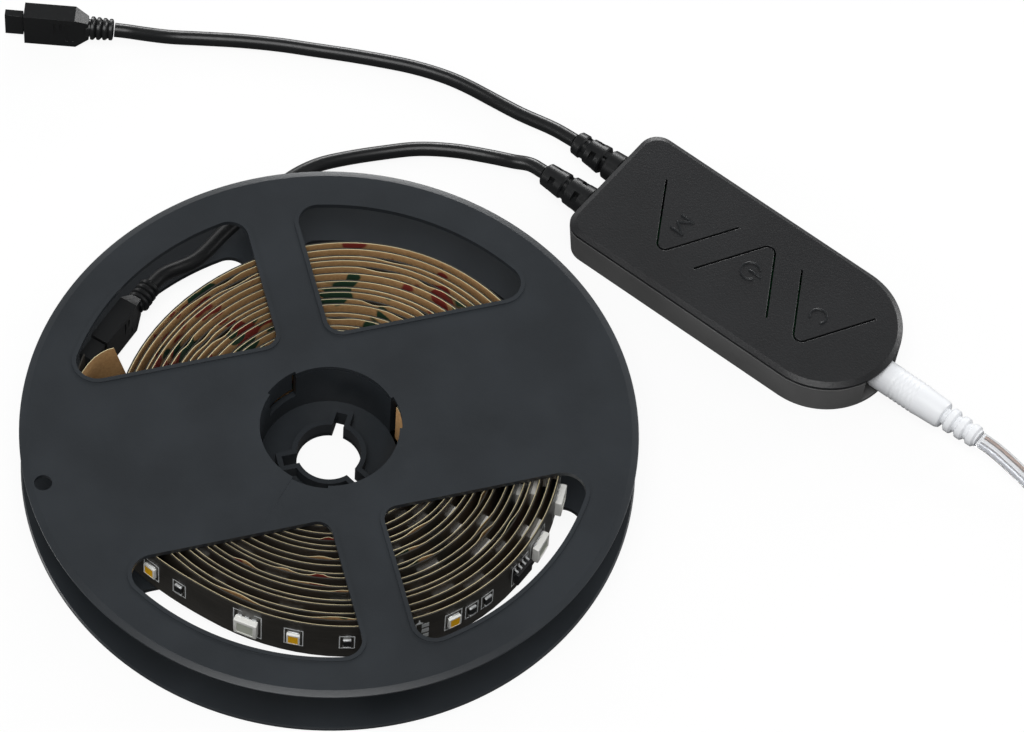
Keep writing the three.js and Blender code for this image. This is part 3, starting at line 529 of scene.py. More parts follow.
def window(sx, sy, grow=0.0):
    x0, y0, outer = SPOKE - grow, BAR - grow, WINDOW_R + grow
    inner, side, top = 3.2 + grow, 4.6 + grow, 4.2 + grow
    side_y, top_x = y0 + side, x0 + top
    side_x = math.sqrt((outer - side) ** 2 - side_y ** 2)
    top_y = math.sqrt((outer - top) ** 2 - top_x ** 2)
    side_deg = math.degrees(math.atan2(side_y, side_x))
    top_deg = math.degrees(math.atan2(top_y, top_x))
    outline = arc(x0 + inner, y0 + inner, inner, 180, 270, 10) + arc(side_x, side_y, side, -90, side_deg, 14)
    outline += arc(0, 0, outer, side_deg + 2, top_deg - 2, 34) + arc(top_x, top_y, top, top_deg, 180, 14)
    return [(sx * x, sy * y) for x, y in outline]


CORNERS = [(1, 1), (-1, 1), (-1, -1), (1, -1)]
NOTCHES = [0, 120, 240]


def windows(bottom, top, grow=0.0):
    return [plate(window(sx, sy, grow), bottom, top) for sx, sy in CORNERS]


def sector(inner, outer, middle, width, bottom, top):
    near = arc(0, 0, inner, middle - width / 2, middle + width / 2, 12)
    far = arc(0, 0, outer, middle + width / 2, middle - width / 2, 12)
    return plate(near + far, bottom, top)


def hang_hole(bottom, top):
    return plate(arc(3.7 - REEL_R, 0, HANG_R, 0, 345, 23), bottom, top)


print("window corners:", len(window(1, 1)))

# %% Upper half
face = REEL_H - LIP_H
upper = turned([
    (0, REEL_H - FLANGE_T), (64.7, REEL_H - FLANGE_T), (REEL_R, 14.05), (REEL_R, 14.3), (64.85, 14.42),
    (63.5, face), (0, face),
], 200)
shape_by(upper, windows(face - 0.2, REEL_H, LIP_W), "UNION")
shape_by(upper, windows(13, 16))
shape_by(upper, [plate(arc(0, 0, HUB_R, 0, 357, 119), 13, 16)])
shape_by(upper, [sector(13.7, 15.3, deg, NOTCH_DEG, 13, 16) for deg in NOTCHES])
shape_by(upper, [hang_hole(13, 16)])
shape_by(upper, [sector(15.3, HUB_OUT, deg, FINGER_DEG, 8.2, 14.3) for deg in NOTCHES[1:]], "UNION")
soften(upper, 0.2, 3, 32)
stand(upper, on_reel(0, 0))
settle(upper, "reel_upper_half", reel_styrene, replaced=["reel_upper"], smooth=30)
print("upper half faces:", len(upper.data.polygons))

# %% [markdown]
# The lower half carries the hub: a thin barrel with three slots for the snap fingers, and inside it
# a low collar round the spindle hole. The collar has three keyways, open channels that a winding
# machine's spindle turns the reel by.

# %% Lower half
BORE_R = 6.8
lower = turned([
    (BORE_R, 0), (63.5, 0), (64.85, 0.33), (REEL_R, 0.45), (REEL_R, 0.95), (64.7, FLANGE_T), (BORE_R, FLANGE_T),
], 200)
barrel = turned([
    (HUB_R, 0.6), (HUB_OUT, 0.6), (HUB_OUT, 13.5), (15.6, 13.5), (HUB_R, 13.5), (HUB_R, 7),
], 120)
shape_by(barrel, [sector(13.7, 17, deg, NOTCH_DEG, FLANGE_T if deg == 0 else 6, 15) for deg in NOTCHES])
collar = turned([(BORE_R, 0.6), (7.9, 0.6), (7.9, 4.4), (BORE_R, 4.4)], 200)
walls, keys = [], []
for deg in (60, 180, 300):
    turn = math.radians(deg)
    walls.append(stand(brick((7.1, -2.3, 0.6), (11.1, 2.3, 4.4)), ORIGIN, turn))
    keys.append(stand(brick((2, -1.2, -1), (10, 1.2, 6)), ORIGIN, turn))
shape_by(collar, walls, "UNION")
shape_by(lower, [barrel, collar], "UNION")
shape_by(lower, keys + windows(-1, 2))
shape_by(lower, [hang_hole(-1, 2)])
soften(lower, 0.14, 3, 32)
stand(lower, on_reel(0, 0))
settle(lower, "reel_lower_half", reel_styrene, replaced=["reel_lower"], smooth=30)
print("lower half faces:", len(lower.data.polygons))

# %% [markdown]
# The strip itself is a flexible board, 12 mm wide, wound on edge in a spiral of nineteen and a half
# turns. The turns are loose, so the winding swings in and out a little with the angle, as three waves
# of a few millimetres. The inner end tucks through a slot of the hub, and the outer end lifts away
# from the winding to reach its socket. The board itself is the first of two layers.

# %% Route of the strip
PITCH, SWEEP, START_DEG, START_R = 1.62, 7061.0, 8, 16.9
STRIP_T, STRIP_MID = 0.5, 7.5
WAVES = ((2.16, -0.72), (0.1, 0.16), (-0.62, 0.23))


def loose_radius(wound):
    angle = math.radians(START_DEG - wound)
    swing = -0.42
    for k, (across, along) in enumerate(WAVES, 1):
        swing += across * math.cos(k * angle) + along * math.sin(k * angle)
    return START_R + PITCH * wound / 360 + swing * wound / SWEEP


TAIL_DEG = 80
TAIL_LIFT = 54.77 - loose_radius(SWEEP)


def turn_radius(wound):
    left = SWEEP - wound
    lift = TAIL_LIFT * ease(1 - left / TAIL_DEG) if left < TAIL_DEG else 0
    tuck = -1.6 * ease(1 - wound / 24) if wound < 24 else 0
    hidden = ease((left - 400) / 60)
    shuffle = 0.3 * hidden * math.sin(math.radians(0.47 * wound) + 1.1 * math.sin(wound / 83))
    return loose_radius(wound) + lift + tuck + shuffle


def outer_radius(deg):
    wound = START_DEG - deg
    while wound < SWEEP - 360:
        wound += 360
    return turn_radius(wound)


def on_turn(angle_deg, radius, z=STRIP_MID):
    return on_reel(*off(0, 0, math.radians(angle_deg), radius), z)


strip_route = []
for i in range(int(SWEEP / 4) + 2):
    wound = min(SWEEP, 4 * i)
    strip_route.append(on_turn(START_DEG - wound, turn_radius(wound)))
board = sweep("light_strip_board", strip_route, [(-0.04, -6), (0.25, -6), (0.25, 6), (-0.04, 6)])
print("strip length in mm:", round(route_length(strip_route) / MM))

# %% [markdown]
# The paper liner is its own thin layer on the inward face. Winding it tight makes it slip, so here
# and there it bulges off the adhesive in a small ripple. At the outer end it has let go altogether:
# the last centimetre curls inward past the socket, its end cut askew.

# %% Liner of the strip
chance = random.Random(11)
ripples = sorted(
    (chance.uniform(500, SWEEP - 430), chance.uniform(4, 8), chance.uniform(0.3, 0.75)) for _ in range(70))


def ripple(wound):
    rise = 0
    for middle, half, height in ripples:
        if abs(wound - middle) < half:
            rise = max(rise, height * math.cos(math.pi / 2 * (wound - middle) / half) ** 2)
    return rise


liner_route = []
for i in range(int((SWEEP - 12) / 2)):
    wound = 2 * i
    liner_route.append(on_turn(START_DEG - wound, turn_radius(wound) - 0.14 - ripple(wound)))
liner_route += [on_turn(deg, radius) for deg, radius in (
    (156.5, 54.3), (154, 54.1), (151.5, 53.8), (149.3, 53.3), (147.2, 52.6), (145.4, 51.7), (143.9, 50.7),
    (142.9, 49.7),
)]
liner = sweep("kraft_liner", liner_route, [(-0.07, -6), (0.07, -6), (0.07, 6), (-0.07, 6)])
for corner in liner.data.vertices:
    for back, share in ((0, 1.0), (1, 0.6), (2, 0.25)):
        if (corner.co.xy - liner_route[-1 - back].xy).length < 0.3 * MM and corner.co.z < STRIP_MID * MM:
            corner.co.x += 2.8 * share * MM
            corner.co.y -= 0.4 * share * MM
print("ripples in the liner:", len(ripples))

# %% [markdown]
# Solder mask is a thin glossy lacquer over copper tracks, so the board's face is near black and
# ripples a little along the tracks. The liner is kraft paper: brown fibres, and loose patches of red
# and green print, drawn here as plain soft-edged shapes. The edge is the cut polyimide, cream and
# slightly rough.

# %% Board, liner and edge finishes
def board_finish():
    finish, tree, shader, at = new_finish("black_solder_mask", {"Roughness": 0.3})
    stretch = node(tree, "Mapping", {"Scale": (60.0, 0.12, 1)}, {"Vector": at["UV"]})
    tracks = node(tree, "TexNoise", {"Scale": 1.0, "Detail": 2.0},
                  {"Vector": stretch})
    bump = node(tree, "Bump", {"Strength": 0.6, "Distance": 0.04 * MM},
                {"Height": tracks})
    ramp = node(tree, "ValToRGB", links={"Fac": tracks})
    ramp.color_ramp.elements[0].color = linear("#24231f")
    ramp.color_ramp.elements[1].color = linear("#3d3a36")
    feed(tree, shader, {"Base Color": ramp, "Normal": bump})
    return finish


def liner_finish(name, prints):
    finish, tree, shader, at = new_finish(name, {"Roughness": 0.75})
    fibre = node(tree, "TexNoise", {"Scale": 1400.0, "Detail": 4.0}, {"Vector": at["Object"]})
    paper = node(tree, "ValToRGB", links={"Fac": fibre})
    paper.color_ramp.elements[0].color = linear("#a87a4a")
    paper.color_ramp.elements[1].color = linear("#d9ae78")
    colour = paper
    for seed, code, share in prints:
        moved = node(tree, "Mapping", {"Location": (seed, seed, 0)}, {"Vector": at["Object"]})
        patch = node(tree, "TexNoise", {"Scale": 120.0, "Detail": 1.0},
                     {"Vector": moved})
        mask = node(tree, "MapRange", {"From Min": share - 0.01, "From Max": share + 0.01},
                    {"Value": patch})
        ink = node(tree, "Mix", {"data_type": "RGBA", 7: linear(code)},
                   {0: mask, 6: colour})
        colour = ink.outputs[2]
    feed(tree, shader, {"Base Color": colour})
    return finish


board_mask = board_finish()
kraft_liner = liner_finish("kraft_liner", ((0.0, "#8f2f24", 0.64), (40.0, "#23452e", 0.62)))
plain_kraft = liner_finish("plain_kraft", ())
# Cut edge of the paper and its adhesive: cream, slightly fuzzy
cut_edge = moulded("paper_edge", "#b3a885", 0.7, 0.5, 0.02, 0.25)
for finish in (kraft_liner, cut_edge, plain_kraft):
    liner.data.materials.append(finish)
for face in liner.data.polygons:
    loose = (face.center.xy - liner_route[-1].xy).length < 9 * MM
    face.material_index = 1 if abs(face.normal.z) > 0.5 else 2 if loose else 0
settle(board, "light_strip_board", board_mask, replaced=["led_strip"], smooth=30)
settle(liner, "kraft_liner", None, smooth=30)

# %% [markdown]
# The parts on the strip are soldered to its outward face. Each is modelled flat: X points away from
# the board, Y along the strip, Z across it. Then its corners are wrapped onto the turn it sits on.
# The coloured package is a white square cup, five millimetres wide, filled with clear gel, and the
# warm one a smaller cup of yellow phosphor gel.

# %% Wrap and part finishes
def wrapped(piece, deg, radius_at=outer_radius, lift=0.02):
    for corner in piece.data.vertices:
        x, y, z = corner.co / MM
        here = radius_at(deg)
        angle_deg = deg + math.degrees(y / here)
        corner.co = on_turn(angle_deg, radius_at(angle_deg) + STRIP_T / 2 + lift + x, STRIP_MID + z)
    return piece


def paint(piece, finishes, slot=0):
    piece.data.materials.clear()
    for finish in finishes:
        piece.data.materials.append(finish)
    for face in piece.data.polygons:
        face.material_index = slot
    return piece


def sink_face(piece, direction, margin, depth, slot):
    alone(piece)
    bpy.ops.object.mode_set(mode="EDIT")
    bpy.ops.mesh.select_mode(type="FACE")
    bpy.ops.mesh.select_all(action="DESELECT")
    bpy.ops.object.mode_set(mode="OBJECT")
    facing = [f for f in piece.data.polygons if f.normal.dot(direction) > 0.99]
    max(facing, key=lambda f: f.area).select = True
    bpy.ops.object.mode_set(mode="EDIT")
    bpy.ops.mesh.inset(thickness=margin * MM, depth=0)
    bpy.ops.mesh.extrude_region_move(TRANSFORM_OT_translate={"value": tuple(-direction * depth * MM)})
    bpy.ops.object.mode_set(mode="OBJECT")
    for f in piece.data.polygons:
        if f.select:
            f.material_index = slot
    return piece


OUT = Vector((1, 0, 0))
# White PPA of an LED cup, matt and slightly warm
led_cup = moulded("white_ppa_cup", "#efefea", 0.45, 0.3, 0.004, 0.04)
# Clear silicone gel over bond wires reads as pale grey
clear_gel = moulded("clear_silicone_gel", "#c9cdbf", 0.15, 0.9, 0.01, 0.12, 1.41)
# Silicone gel loaded with yellow phosphor
phosphor_gel = moulded("phosphor_gel", "#ffbc10", 0.3, 0.4, 0.006, 0.06, 1.41)
# White epoxy ink of the board's printed outlines
white_ink = moulded("white_board_ink", "#d3d6d6", 0.5, 0.3, 0.004, 0.06)


def metal(name, code, roughness, metallic=1.0):
    finish, tree, shader, at = new_finish(name, {"Base Color": linear(code), "Metallic": metallic})
    cloud = node(tree, "TexNoise", {"Scale": 1500.0, "Detail": 3.0}, {"Vector": at["Object"]})
    gloss = node(tree, "MapRange", {"To Min": roughness - 0.07, "To Max": roughness + 0.07},
                 {"Value": cloud})
    feed(tree, shader, {"Roughness": gloss})
    return finish


# Soldered tin under clear flux: bright, uneven and a little milky
solder_tin = metal("solder_tin", "#eceeee", 0.34, 0.6)
# Nickel plate on the plug's barrel and the jack's pin
nickel_plate = metal("nickel_plate", "#c3c2bd", 0.2)
CUP = (led_cup, clear_gel, solder_tin)
WARM_CUP = (led_cup, phosphor_gel, solder_tin)
CHIP = (chip_epoxy, solder_tin)


# %% Packages on the outer turn
def cup_of(half_y, half_z, thick, finishes, margin, depth, edge):
    cup = brick((0, -half_y, -half_z), (thick, half_y, half_z))
    if edge:
        soften(cup, edge, 2)
    return sink_face(paint(cup, finishes), OUT, margin, depth, 1)


def rgb_package(thick=1.6, edge=0.25):
    parts = [cup_of(2.5, 2.5, thick, CUP, 0.5, 0.12, edge)]
    for y in (-1.6, 0, 1.6) if edge else ():
        for z in (-2.85, 2.45):
            parts.append(paint(brick((0, y - 0.45, z), (0.35, y + 0.45, z + 0.4)), CUP, 2))
    return joined(parts)


def warm_package(thick=0.8, edge=0.12):
    parts = [cup_of(1.4, 1.75, thick, WARM_CUP, 0.24, 0.05, edge)]
    for z in (-2.2, 1.65) if edge else ():
        foot = soften(brick((0, -1.15, z), (0.3, 1.15, z + 0.55)), 0.08, 2)
        parts.append(paint(foot, WARM_CUP, 2))
    return joined(parts)


def chip_resistor():
    parts = [paint(soften(brick((0, -0.78, -1.1), (0.5, 0.78, 1.1)), 0.05, 2), CHIP)]
    for z in (-1.65, 1.05):
        parts.append(paint(soften(brick((0, -0.82, z), (0.54, 0.82, z + 0.6)), 0.08, 2), CHIP, 1))
    return joined(parts)


LEG = ((1.9, 0.9), (2.35, 0.9), (2.5, 0.15), (3.1, 0.15), (3.1, 0.0), (2.38, 0.0), (2.22, 0.72), (1.9, 0.72))


def eight_leg_chip():
    parts = [paint(soften(brick((0.25, -2.45, -1.95), (1.5, 2.45, 1.95)), 0.12, 2), CHIP)]
    for y in (-1.905, -0.635, 0.635, 1.905):
        for side in (-1, 1):
            leg = tipped(plate([(x, z * side) for z, x in LEG], -0.2, 0.2), "X")
            parts.append(paint(stand(leg, Vector((0, y * MM, 0))), CHIP, 1))
    return joined(parts)


RGB_DEGS, WARM_DEGS, CHIP_DEGS = (-124.8, -43.0, -29.0), (-153.6, -112.6, -72.5), (-51,)
RESISTOR_DEGS = (-144.8, -99.3, -67.3, -62.6)
for make, degs, name, stands_for, slot in (
    (rgb_package, RGB_DEGS, "colour_led", "led_rgb", "led_clear"),
    (warm_package, WARM_DEGS, "warm_led", "led_white", "led_warm"),
    (chip_resistor, RESISTOR_DEGS, "chip_resistor", "resistor", "chip_black"),
):
    for i, deg in enumerate(degs, 1):
        settle(wrapped(make(), deg), f"{name}_{i}", None, replaced=[f"{stands_for}_{i}"])
chip = wrapped(eight_leg_chip(), CHIP_DEGS[0])
settle(chip, "strip_driver_chip", None, replaced=["driver_chip"])

# %% [markdown]
# Printed outlines frame each part, and where the strip may be cut there are tinned pads on both
# sides of a line. They are thin frames laid on the board. The hidden turns carry the same packages
# every 16.6 mm, pressed flat between the turns, so one light copy of each is repeated.

# %% Board print, pads and hidden packages
INK_T, INK_LINE, CUT_DEG, PAD_T, PAD_W = 0.03, 0.22, -81.6, 0.05, 1.4


def ink_frame(length, width):
    half_l, half_w = length / 2, width / 2
    hole_l, hole_w = half_l - INK_LINE, half_w - INK_LINE
    rim = brick((0, -half_l, -half_w), (INK_T, half_l, half_w))
    return shape_by(rim, [brick((-1, -hole_l, -hole_w), (1, hole_l, hole_w))])


prints = []
for degs, length, width in (
    (RGB_DEGS, 6.4, 8.6), (WARM_DEGS, 4.1, 6.2), (RESISTOR_DEGS, 3.3, 4.9), (CHIP_DEGS, 5.6, 7.6),
):
    prints += [wrapped(ink_frame(length, width), deg) for deg in degs]
prints += [wrapped(brick((0, -0.12, z), (INK_T, 0.12, z + 0.8)), CUT_DEG) for z in (-5, 4.2)]
arrow = plate([(-0.9, 3.4), (0.9, 3.4), (0, 4.6)], 0, INK_T)
arrow.data.transform(Matrix(((0, 0, 1, 0), (1, 0, 0, 0), (0, 1, 0, 0), (0, 0, 0, 1))))
tidy_normals(arrow)
prints.append(wrapped(arrow, CUT_DEG))
settle(joined(prints), "board_print", white_ink)
pads = []
for z in (-4.6, -2.5, -0.4, 1.7):
    for deg in (CUT_DEG - 1.6, CUT_DEG + 1.6):
        pads.append(wrapped(brick((0, -0.8, z), (PAD_T, 0.8, z + PAD_W)), deg))
settle(joined(pads), "solder_pads", solder_tin)


def inner_radius_for(sweep_at):
    return lambda deg: turn_radius(min(SWEEP, max(0, START_DEG - deg + sweep_at)))


packages, PACKAGE_PITCH = [], 16.6
templates = [rgb_package(0.9, 0), warm_package(0.8, 0)]
wound = 60.0
while wound < SWEEP - 372:
    full = 360 * math.floor((wound - START_DEG) / 360)
    copy = bpy.data.objects.new("package", templates[len(packages) % 2].data.copy())
    bpy.context.collection.objects.link(copy)
    packages.append(wrapped(copy, START_DEG - (wound - full), inner_radius_for(full)))
    wound += math.degrees(PACKAGE_PITCH / turn_radius(wound))
print("packages on hidden turns:", len(packages))
for template in templates:
    bpy.data.objects.remove(template, do_unlink=True)
settle(joined(packages), "hidden_packages", None)

# %% [markdown]
# A flat four-pole plug is pushed into the strip's socket, and its twin waits on the free lead. It is
# one moulding: a flat body with a shouldered rear end, grip ribs on its sides, and a strain relief of
# four rings. The nose that enters the socket is a separate thin tongue with four contact holes.

# %% Flat plugs
def flat_plug():
    w, t, shoulder, taper = 4.8, 2.05, 11.3, 1.9
    side_line = [(0, w), (shoulder, w), (PLUG_L, w - taper)]
    body = plate([(x, -y) for x, y in side_line] + side_line[::-1], -t, t)
    for corner in body.data.vertices:
        if corner.co.x > 13 * MM:
            corner.co.z *= 0.56
    shape_by(body, [brick((x, -3.2, side - 0.25), (x + 0.6, 3.2, side + 0.25))
                    for x in (6.6, 7.9, 9.2, 10.5) for side in (-t, t)])
    soften(body, 0.22, 3, 30)
    profile = [(0, PLUG_L - 0.6), (2.0, PLUG_L - 0.6)]
    for i in range(4):
        x, r = PLUG_L + 1.35 * i, 2.6 - 0.07 * i
        profile += [(1.95, x + 0.35), (r - 0.15, x + 0.45), (r, x + 0.6), (r, x + 1.1), (r - 0.15, x + 1.25)]
    profile += [(1.95, PLUG_L + RIBS_L), (0, PLUG_L + RIBS_L)]
    return tipped(joined([body, tipped(turned(profile, 32))]), "X")


def plug_nose():
    nose = brick((-4.3, -3.35, -0.85), (-0.3, 3.35, 0.85))
    shape_by(nose, [brick((-5, y - 0.4, -0.4), (-1.5, y + 0.4, 0.4)) for y in (-2.25, -0.75, 0.75, 2.25)])
    return tipped(soften(nose, 0.12, 2, 30), "X")


free_nose = off(*SPARE_PLUG_AT, SPARE_TURN, -PLUG_L / 2)
for start, at, turn in (
    ("reel", on_reel(*reel_nose, REEL_PLUG_Z), REEL_PLUG_TURN),
    ("spare", on_reel(*free_nose, LEAD_Z), SPARE_TURN),
):
    body, nose = stand(flat_plug(), at, turn), stand(plug_nose(), at, turn)
    for piece, name, node_name in ((body, "flat_plug", "plug_body"), (nose, "plug_nose", "plug_tip")):
        settle(piece, f"{start}_{name}", black_pvc, replaced=[f"{start}_{node_name}"],
               smooth=35)

# %% [markdown]
# The controller is a shallow tub with a plate on it. The tub's walls lean in slightly so that it
# leaves its mould. Its jack end is a half round with a flat recess where the power plug enters, and
# its lead end has two round holes for the glands.

# %% Controller tub
BOX_L, BOX_W, BOX_H, BOX_CORNER = 75.6, 32.9, 10.0, 4.4
SEAM_LOW, SEAM_HIGH, WALL = 8.4, 8.7, 1.4
JACK_WALL = BOX_L - 3.2


def housing(inset):
    half = BOX_W / 2 - inset
    corner = max(BOX_CORNER - inset, 0.8)
    outline = arc(inset + corner, -half + corner, corner, 180, 270, 10)
    outline += arc(BOX_L - inset - half, 0, half, -90, 90, 50)
    return outline + arc(inset + corner, half - corner, corner, 90, 180, 10)


def lean(piece, level, amount, below=True):
    for corner in piece.data.vertices:
        if (corner.co.z < level * MM) == below:
            corner.co.x = (BOX_L / 2 + (corner.co.x / MM - BOX_L / 2) * (1 - 2 * amount / BOX_L)) * MM
            corner.co.y *= 1 - 2 * amount / BOX_W
    return piece


tub = lean(plate(housing(0), 0, SEAM_LOW), 0.1, 0.5)
hollow = plate(housing(WALL), WALL, 9)
shape_by(hollow, [brick((JACK_WALL - WALL, -20, 0), (90, 20, 12))])
recess = plate([(JACK_WALL, -5.2), (77, -7.6), (77, 7.6), (JACK_WALL, 5.2)], 1.2, 9)


def drill(radius, near, far, across, steps):
    bit = tipped(turned([(0, near), (radius, near), (radius, far), (0, far)], steps))
    return stand(bit, Vector((0, across * MM, LEAD_Z * MM)))


shape_by(tub, [hollow, recess, drill(3.05, 69, 75, 0, 48)])
shape_by(tub, [drill(2.9, -1, 3, across, 40) for across in (REEL_ACROSS, SPARE_ACROSS)])
soften(tub, 0.3, 3, 50)
stand(tub, on_box(0, 0), BOX_TURN)
settle(tub, "controller_tub", base_abs, replaced=["controller_base"], smooth=30)
print("tub faces:", len(tub.data.polygons))

# %% [markdown]
# The plate on top has three V cuts. The tongue inside each V bends on the plastic it is left
# hanging by, and its tip presses a switch. The cut is made first, edges and all, then the tongue is
# taken out along its hinge line with a sharp edge, so that plate and tongue read as one skin there.

# %% Controller plate and button tongues
BUTTONS = (
    ("button_mode", BOX_L * 0.267, 1), ("button_power", BOX_L * 0.512, -1), ("button_colour", BOX_L * 0.753, 1))
HINGE_Y, V_HALF, V_DEPTH, V_ROUND, V_CUT, EDGE = 7.4, 9.6, 16.4, 1.5, 0.42, 0.13


def tongue(grow, top_y):
    half = math.atan2(V_HALF, V_DEPTH)
    slope, side, tip = V_HALF / V_DEPTH, grow / math.cos(half), HINGE_Y - V_DEPTH
    middle = tip + V_ROUND / math.sin(half)
    start = 180 + math.degrees(half)
    reach = (top_y - tip) * slope + side
    return [(-reach, top_y)] + arc(0, middle, V_ROUND + grow, start, 540 - start, 16) + [(reach, top_y)]


def at_button(piece, along, side):
    return stand(piece, Vector((along * MM, 0, 0)), 0 if side > 0 else math.pi)


RIM = 9.3
plate_top = plate(housing(0), SEAM_HIGH, RIM)
shape_by(plate_top, [lean(plate(housing(0), RIM, BOX_H), 9.9, 1.1, below=False)], "UNION")
lip = plate(housing(1.7), 7.3, SEAM_HIGH + 0.2)
shape_by(lip, [
    plate(housing(2.7), 7, SEAM_HIGH + 0.2), brick((68.4, -20, 0), (90, 20, 9)),
    brick((-1, -10.5, 0), (5, 10.5, 9)),
])
for name, along, side in BUTTONS:
    cut = shape_by(plate(tongue(V_CUT, HINGE_Y), 8, 11), [plate(tongue(0.0, HINGE_Y + 1), 7, 12)])
    shape_by(plate_top, [at_button(cut, along, side)])
soften(plate_top, EDGE, 3, 25)
for name, along, side in BUTTONS:
    shape_by(plate_top, [at_button(plate(tongue(0.2, HINGE_Y), 8, 11), along, side)])
cover = joined([plate_top, lip])
stand(cover, on_box(0, 0), BOX_TURN)
settle(cover, "controller_plate", cover_abs, replaced=["controller_cover"], smooth=30)
print("plate faces:", len(cover.data.polygons))

# %% [markdown]
# Each tongue has a post underneath that meets its switch, and a raised mark on top: a letter for
# mode, the usual on and off sign, a letter for colour. The marks are thin ridges of the same ABS,
# shinier where the mould was polished.

# %% Button marks
polished_abs = moulded("polished_abs", "#232527", 0.28, 0.6, 0.004)
HALF_LINE, MARK_TOP, MARK_FOOT = 0.21, 0.16, -0.1


def ridge(points):
    parts = []
    for (x0, y0), (x1, y1) in zip(points, points[1:]):
        length = math.hypot(x1 - x0, y1 - y0)
        bar = brick((-HALF_LINE, -HALF_LINE, MARK_FOOT), (length + HALF_LINE, HALF_LINE, MARK_TOP))
        parts.append(stand(bar, Vector((x0 * MM, y0 * MM, 0)), math.atan2(y1 - y0, x1 - x0)))
    return soften(shape_by(parts[0], parts[1:], "UNION"), 0.07, 2, 30)


def loop_ridge(start, end, radius):
    near = arc(0, 0, radius - HALF_LINE, start, end, 32)
    far = arc(0, 0, radius + HALF_LINE, end, start, 32)
    return soften(plate(near + far, MARK_FOOT, MARK_TOP), 0.07, 2, 30)


marks = {
    "button_mode": [ridge([(-1.5, -2.0), (1.5, -2.0), (-1.2, 0), (1.5, 2.0), (-1.5, 2.0)])],
    "button_power": [loop_ridge(38, 322, 2.15), ridge([(-0.2, 0), (2.6, 0)])],
    "button_colour": [loop_ridge(-45, 225, 1.85)],
}
for name, along, side in BUTTONS:
    flap = soften(plate(tongue(0.0, HINGE_Y + 3), SEAM_HIGH, BOX_H), EDGE, 3, 25)
    shape_by(flap, [brick((-20, HINGE_Y, 8), (20, 20, 12))])
    post = turned([(0, 7.65), (1.1, 7.65), (1.3, 7.85), (1.3, 9), (0, 9)], 24)
    shape_by(flap, [post], "UNION")
    flap = stand(at_button(flap, along, side), on_box(0, 0), BOX_TURN)
    settle(flap, f"{name}_tongue", cover_abs, name, replaced=[name], smooth=30)
    mark = stand(joined(marks[name]), Vector((along * MM, 0, BOX_H * MM)))
    stand(mark, on_box(0, 0), BOX_TURN)
    settle(mark, f"{name}_mark", polished_abs, name, smooth=30)

# %% [markdown]
# Where a lead leaves the box it is moulded into a gland: rings that get smaller outward, with gaps
# that let it flex, joined by short bridges that alternate between the sides and the top. A neck and
# an inner flange hold it in the wall.

# %% Glands
def gland(rings):
    profile = [(0, -12.7)]
    for near, far, near_r, far_r in rings:
        profile += [(far_r - 0.3, -far), (far_r, -far + 0.3), (near_r, -near - 0.3), (near_r - 0.3, -near)]
        if near > 1:
            profile += [(2.05, -near), (2.05, -near + 1)]
    profile += [(2.6, -0.3), (2.6, 1.7), (3.3, 1.7), (3.3, 2.9), (0, 2.9)]
    piece = tipped(turned(profile, 40))
    for n, (near, far, near_r, far_r) in enumerate(rings[:-1]):
        half_y, half_z = (near_r - 0.35, 0.75) if n % 2 == 0 else (0.75, near_r - 0.35)
        shape_by(piece, [brick((-near - 0.2, -half_y, -half_z), (-near + 1.2, half_y, half_z))], "UNION")
    for near, far, near_r, far_r in rings:
        middle = -(near + far) / 2
        for near_y, far_y in ((-4.7, -1.3), (1.3, 4.7)) if far - near > 4 else ():
            slot = brick((middle - 0.7, near_y, -4), (middle + 0.7, far_y, 4))
            shape_by(piece, [shape_by(slot, [brick((middle - 1.7, -5, -1.1), (middle + 1.7, 5, 1.1))])])
    return piece


REEL_GLAND = [(7.2, 12.7, 3.05, 2.65), (0.3, 6.2, 3.6, 3.25)]
SPARE_GLAND = [(10.4, 12.7, 2.8, 2.65), (4.9, 9.4, 3.3, 2.9), (0.3, 3.9, 3.6, 3.4)]
for name, rings, across in (
    ("reel_lead_gland", REEL_GLAND, REEL_ACROSS), ("spare_lead_gland", SPARE_GLAND, SPARE_ACROSS),
):
    piece = stand(gland(rings), on_box(0, across, LEAD_Z), BOX_TURN)
    settle(piece, f"{name}_moulding", black_pvc, replaced=[name], smooth=35)
    print(name, "faces:", len(piece.data.polygons))

# %% [markdown]
# The power plug is white: a round grip that narrows to the rear, fine grip lines, and three strain
# rings. Its metal barrel is inside the jack.

# %% Power plug, coil tie and far socket
grip = [(0, 0), (2.6, 0), (3.2, 0.2), (3.55, 0.8), (3.55, 5)]
for i in range(6):
    x = 5.4 + i * 1.1
    grip += [(3.55, x), (3.42, x + 0.25), (3.42, x + 0.45), (3.53, x + 0.7)]
grip += [(3.4, 13), (3.2, 17.6), (2.9, 18.3), (1.9, DC_GRIP_L)]
for i in range(3):
    x, r = DC_GRIP_L + 0.9 + i * 2.8, 2.75 - 0.15 * i
    grip += [(1.9, x), (r - 0.3, x + 0.1), (r, x + 0.4), (r, x + 1.6), (r - 0.3, x + 1.9), (1.9, x + 2)]
grip += [(1.9, DC_GRIP_L + DC_RINGS_L), (0, DC_GRIP_L + DC_RINGS_L)]
power_plug = stand(tipped(turned(grip, 56)), on_box(DC_X, 0, LEAD_Z), BOX_TURN)
settle(power_plug, "power_plug_grip", white_pvc, replaced=["dc_plug_body"], smooth=40)

socket_shape = [
    (0, 0), (2.4, 0), (2.9, 6.4), (1.9, 6.6), (1.9, 7.6), (3.6, 7.7), (4.5, 8.6), (4.7, 10), (4.7, 30.6),
    (4.4, 31), (3.05, 31), (3.05, 21), (0, 21),
]
far_socket = tipped(turned(socket_shape, 48))
stand(far_socket, off_coil(FAR_HEADING, 51.3, 4.7), math.radians(FAR_HEADING))
settle(far_socket, "cord_socket", white_pvc, replaced=["power_socket"], smooth=35)

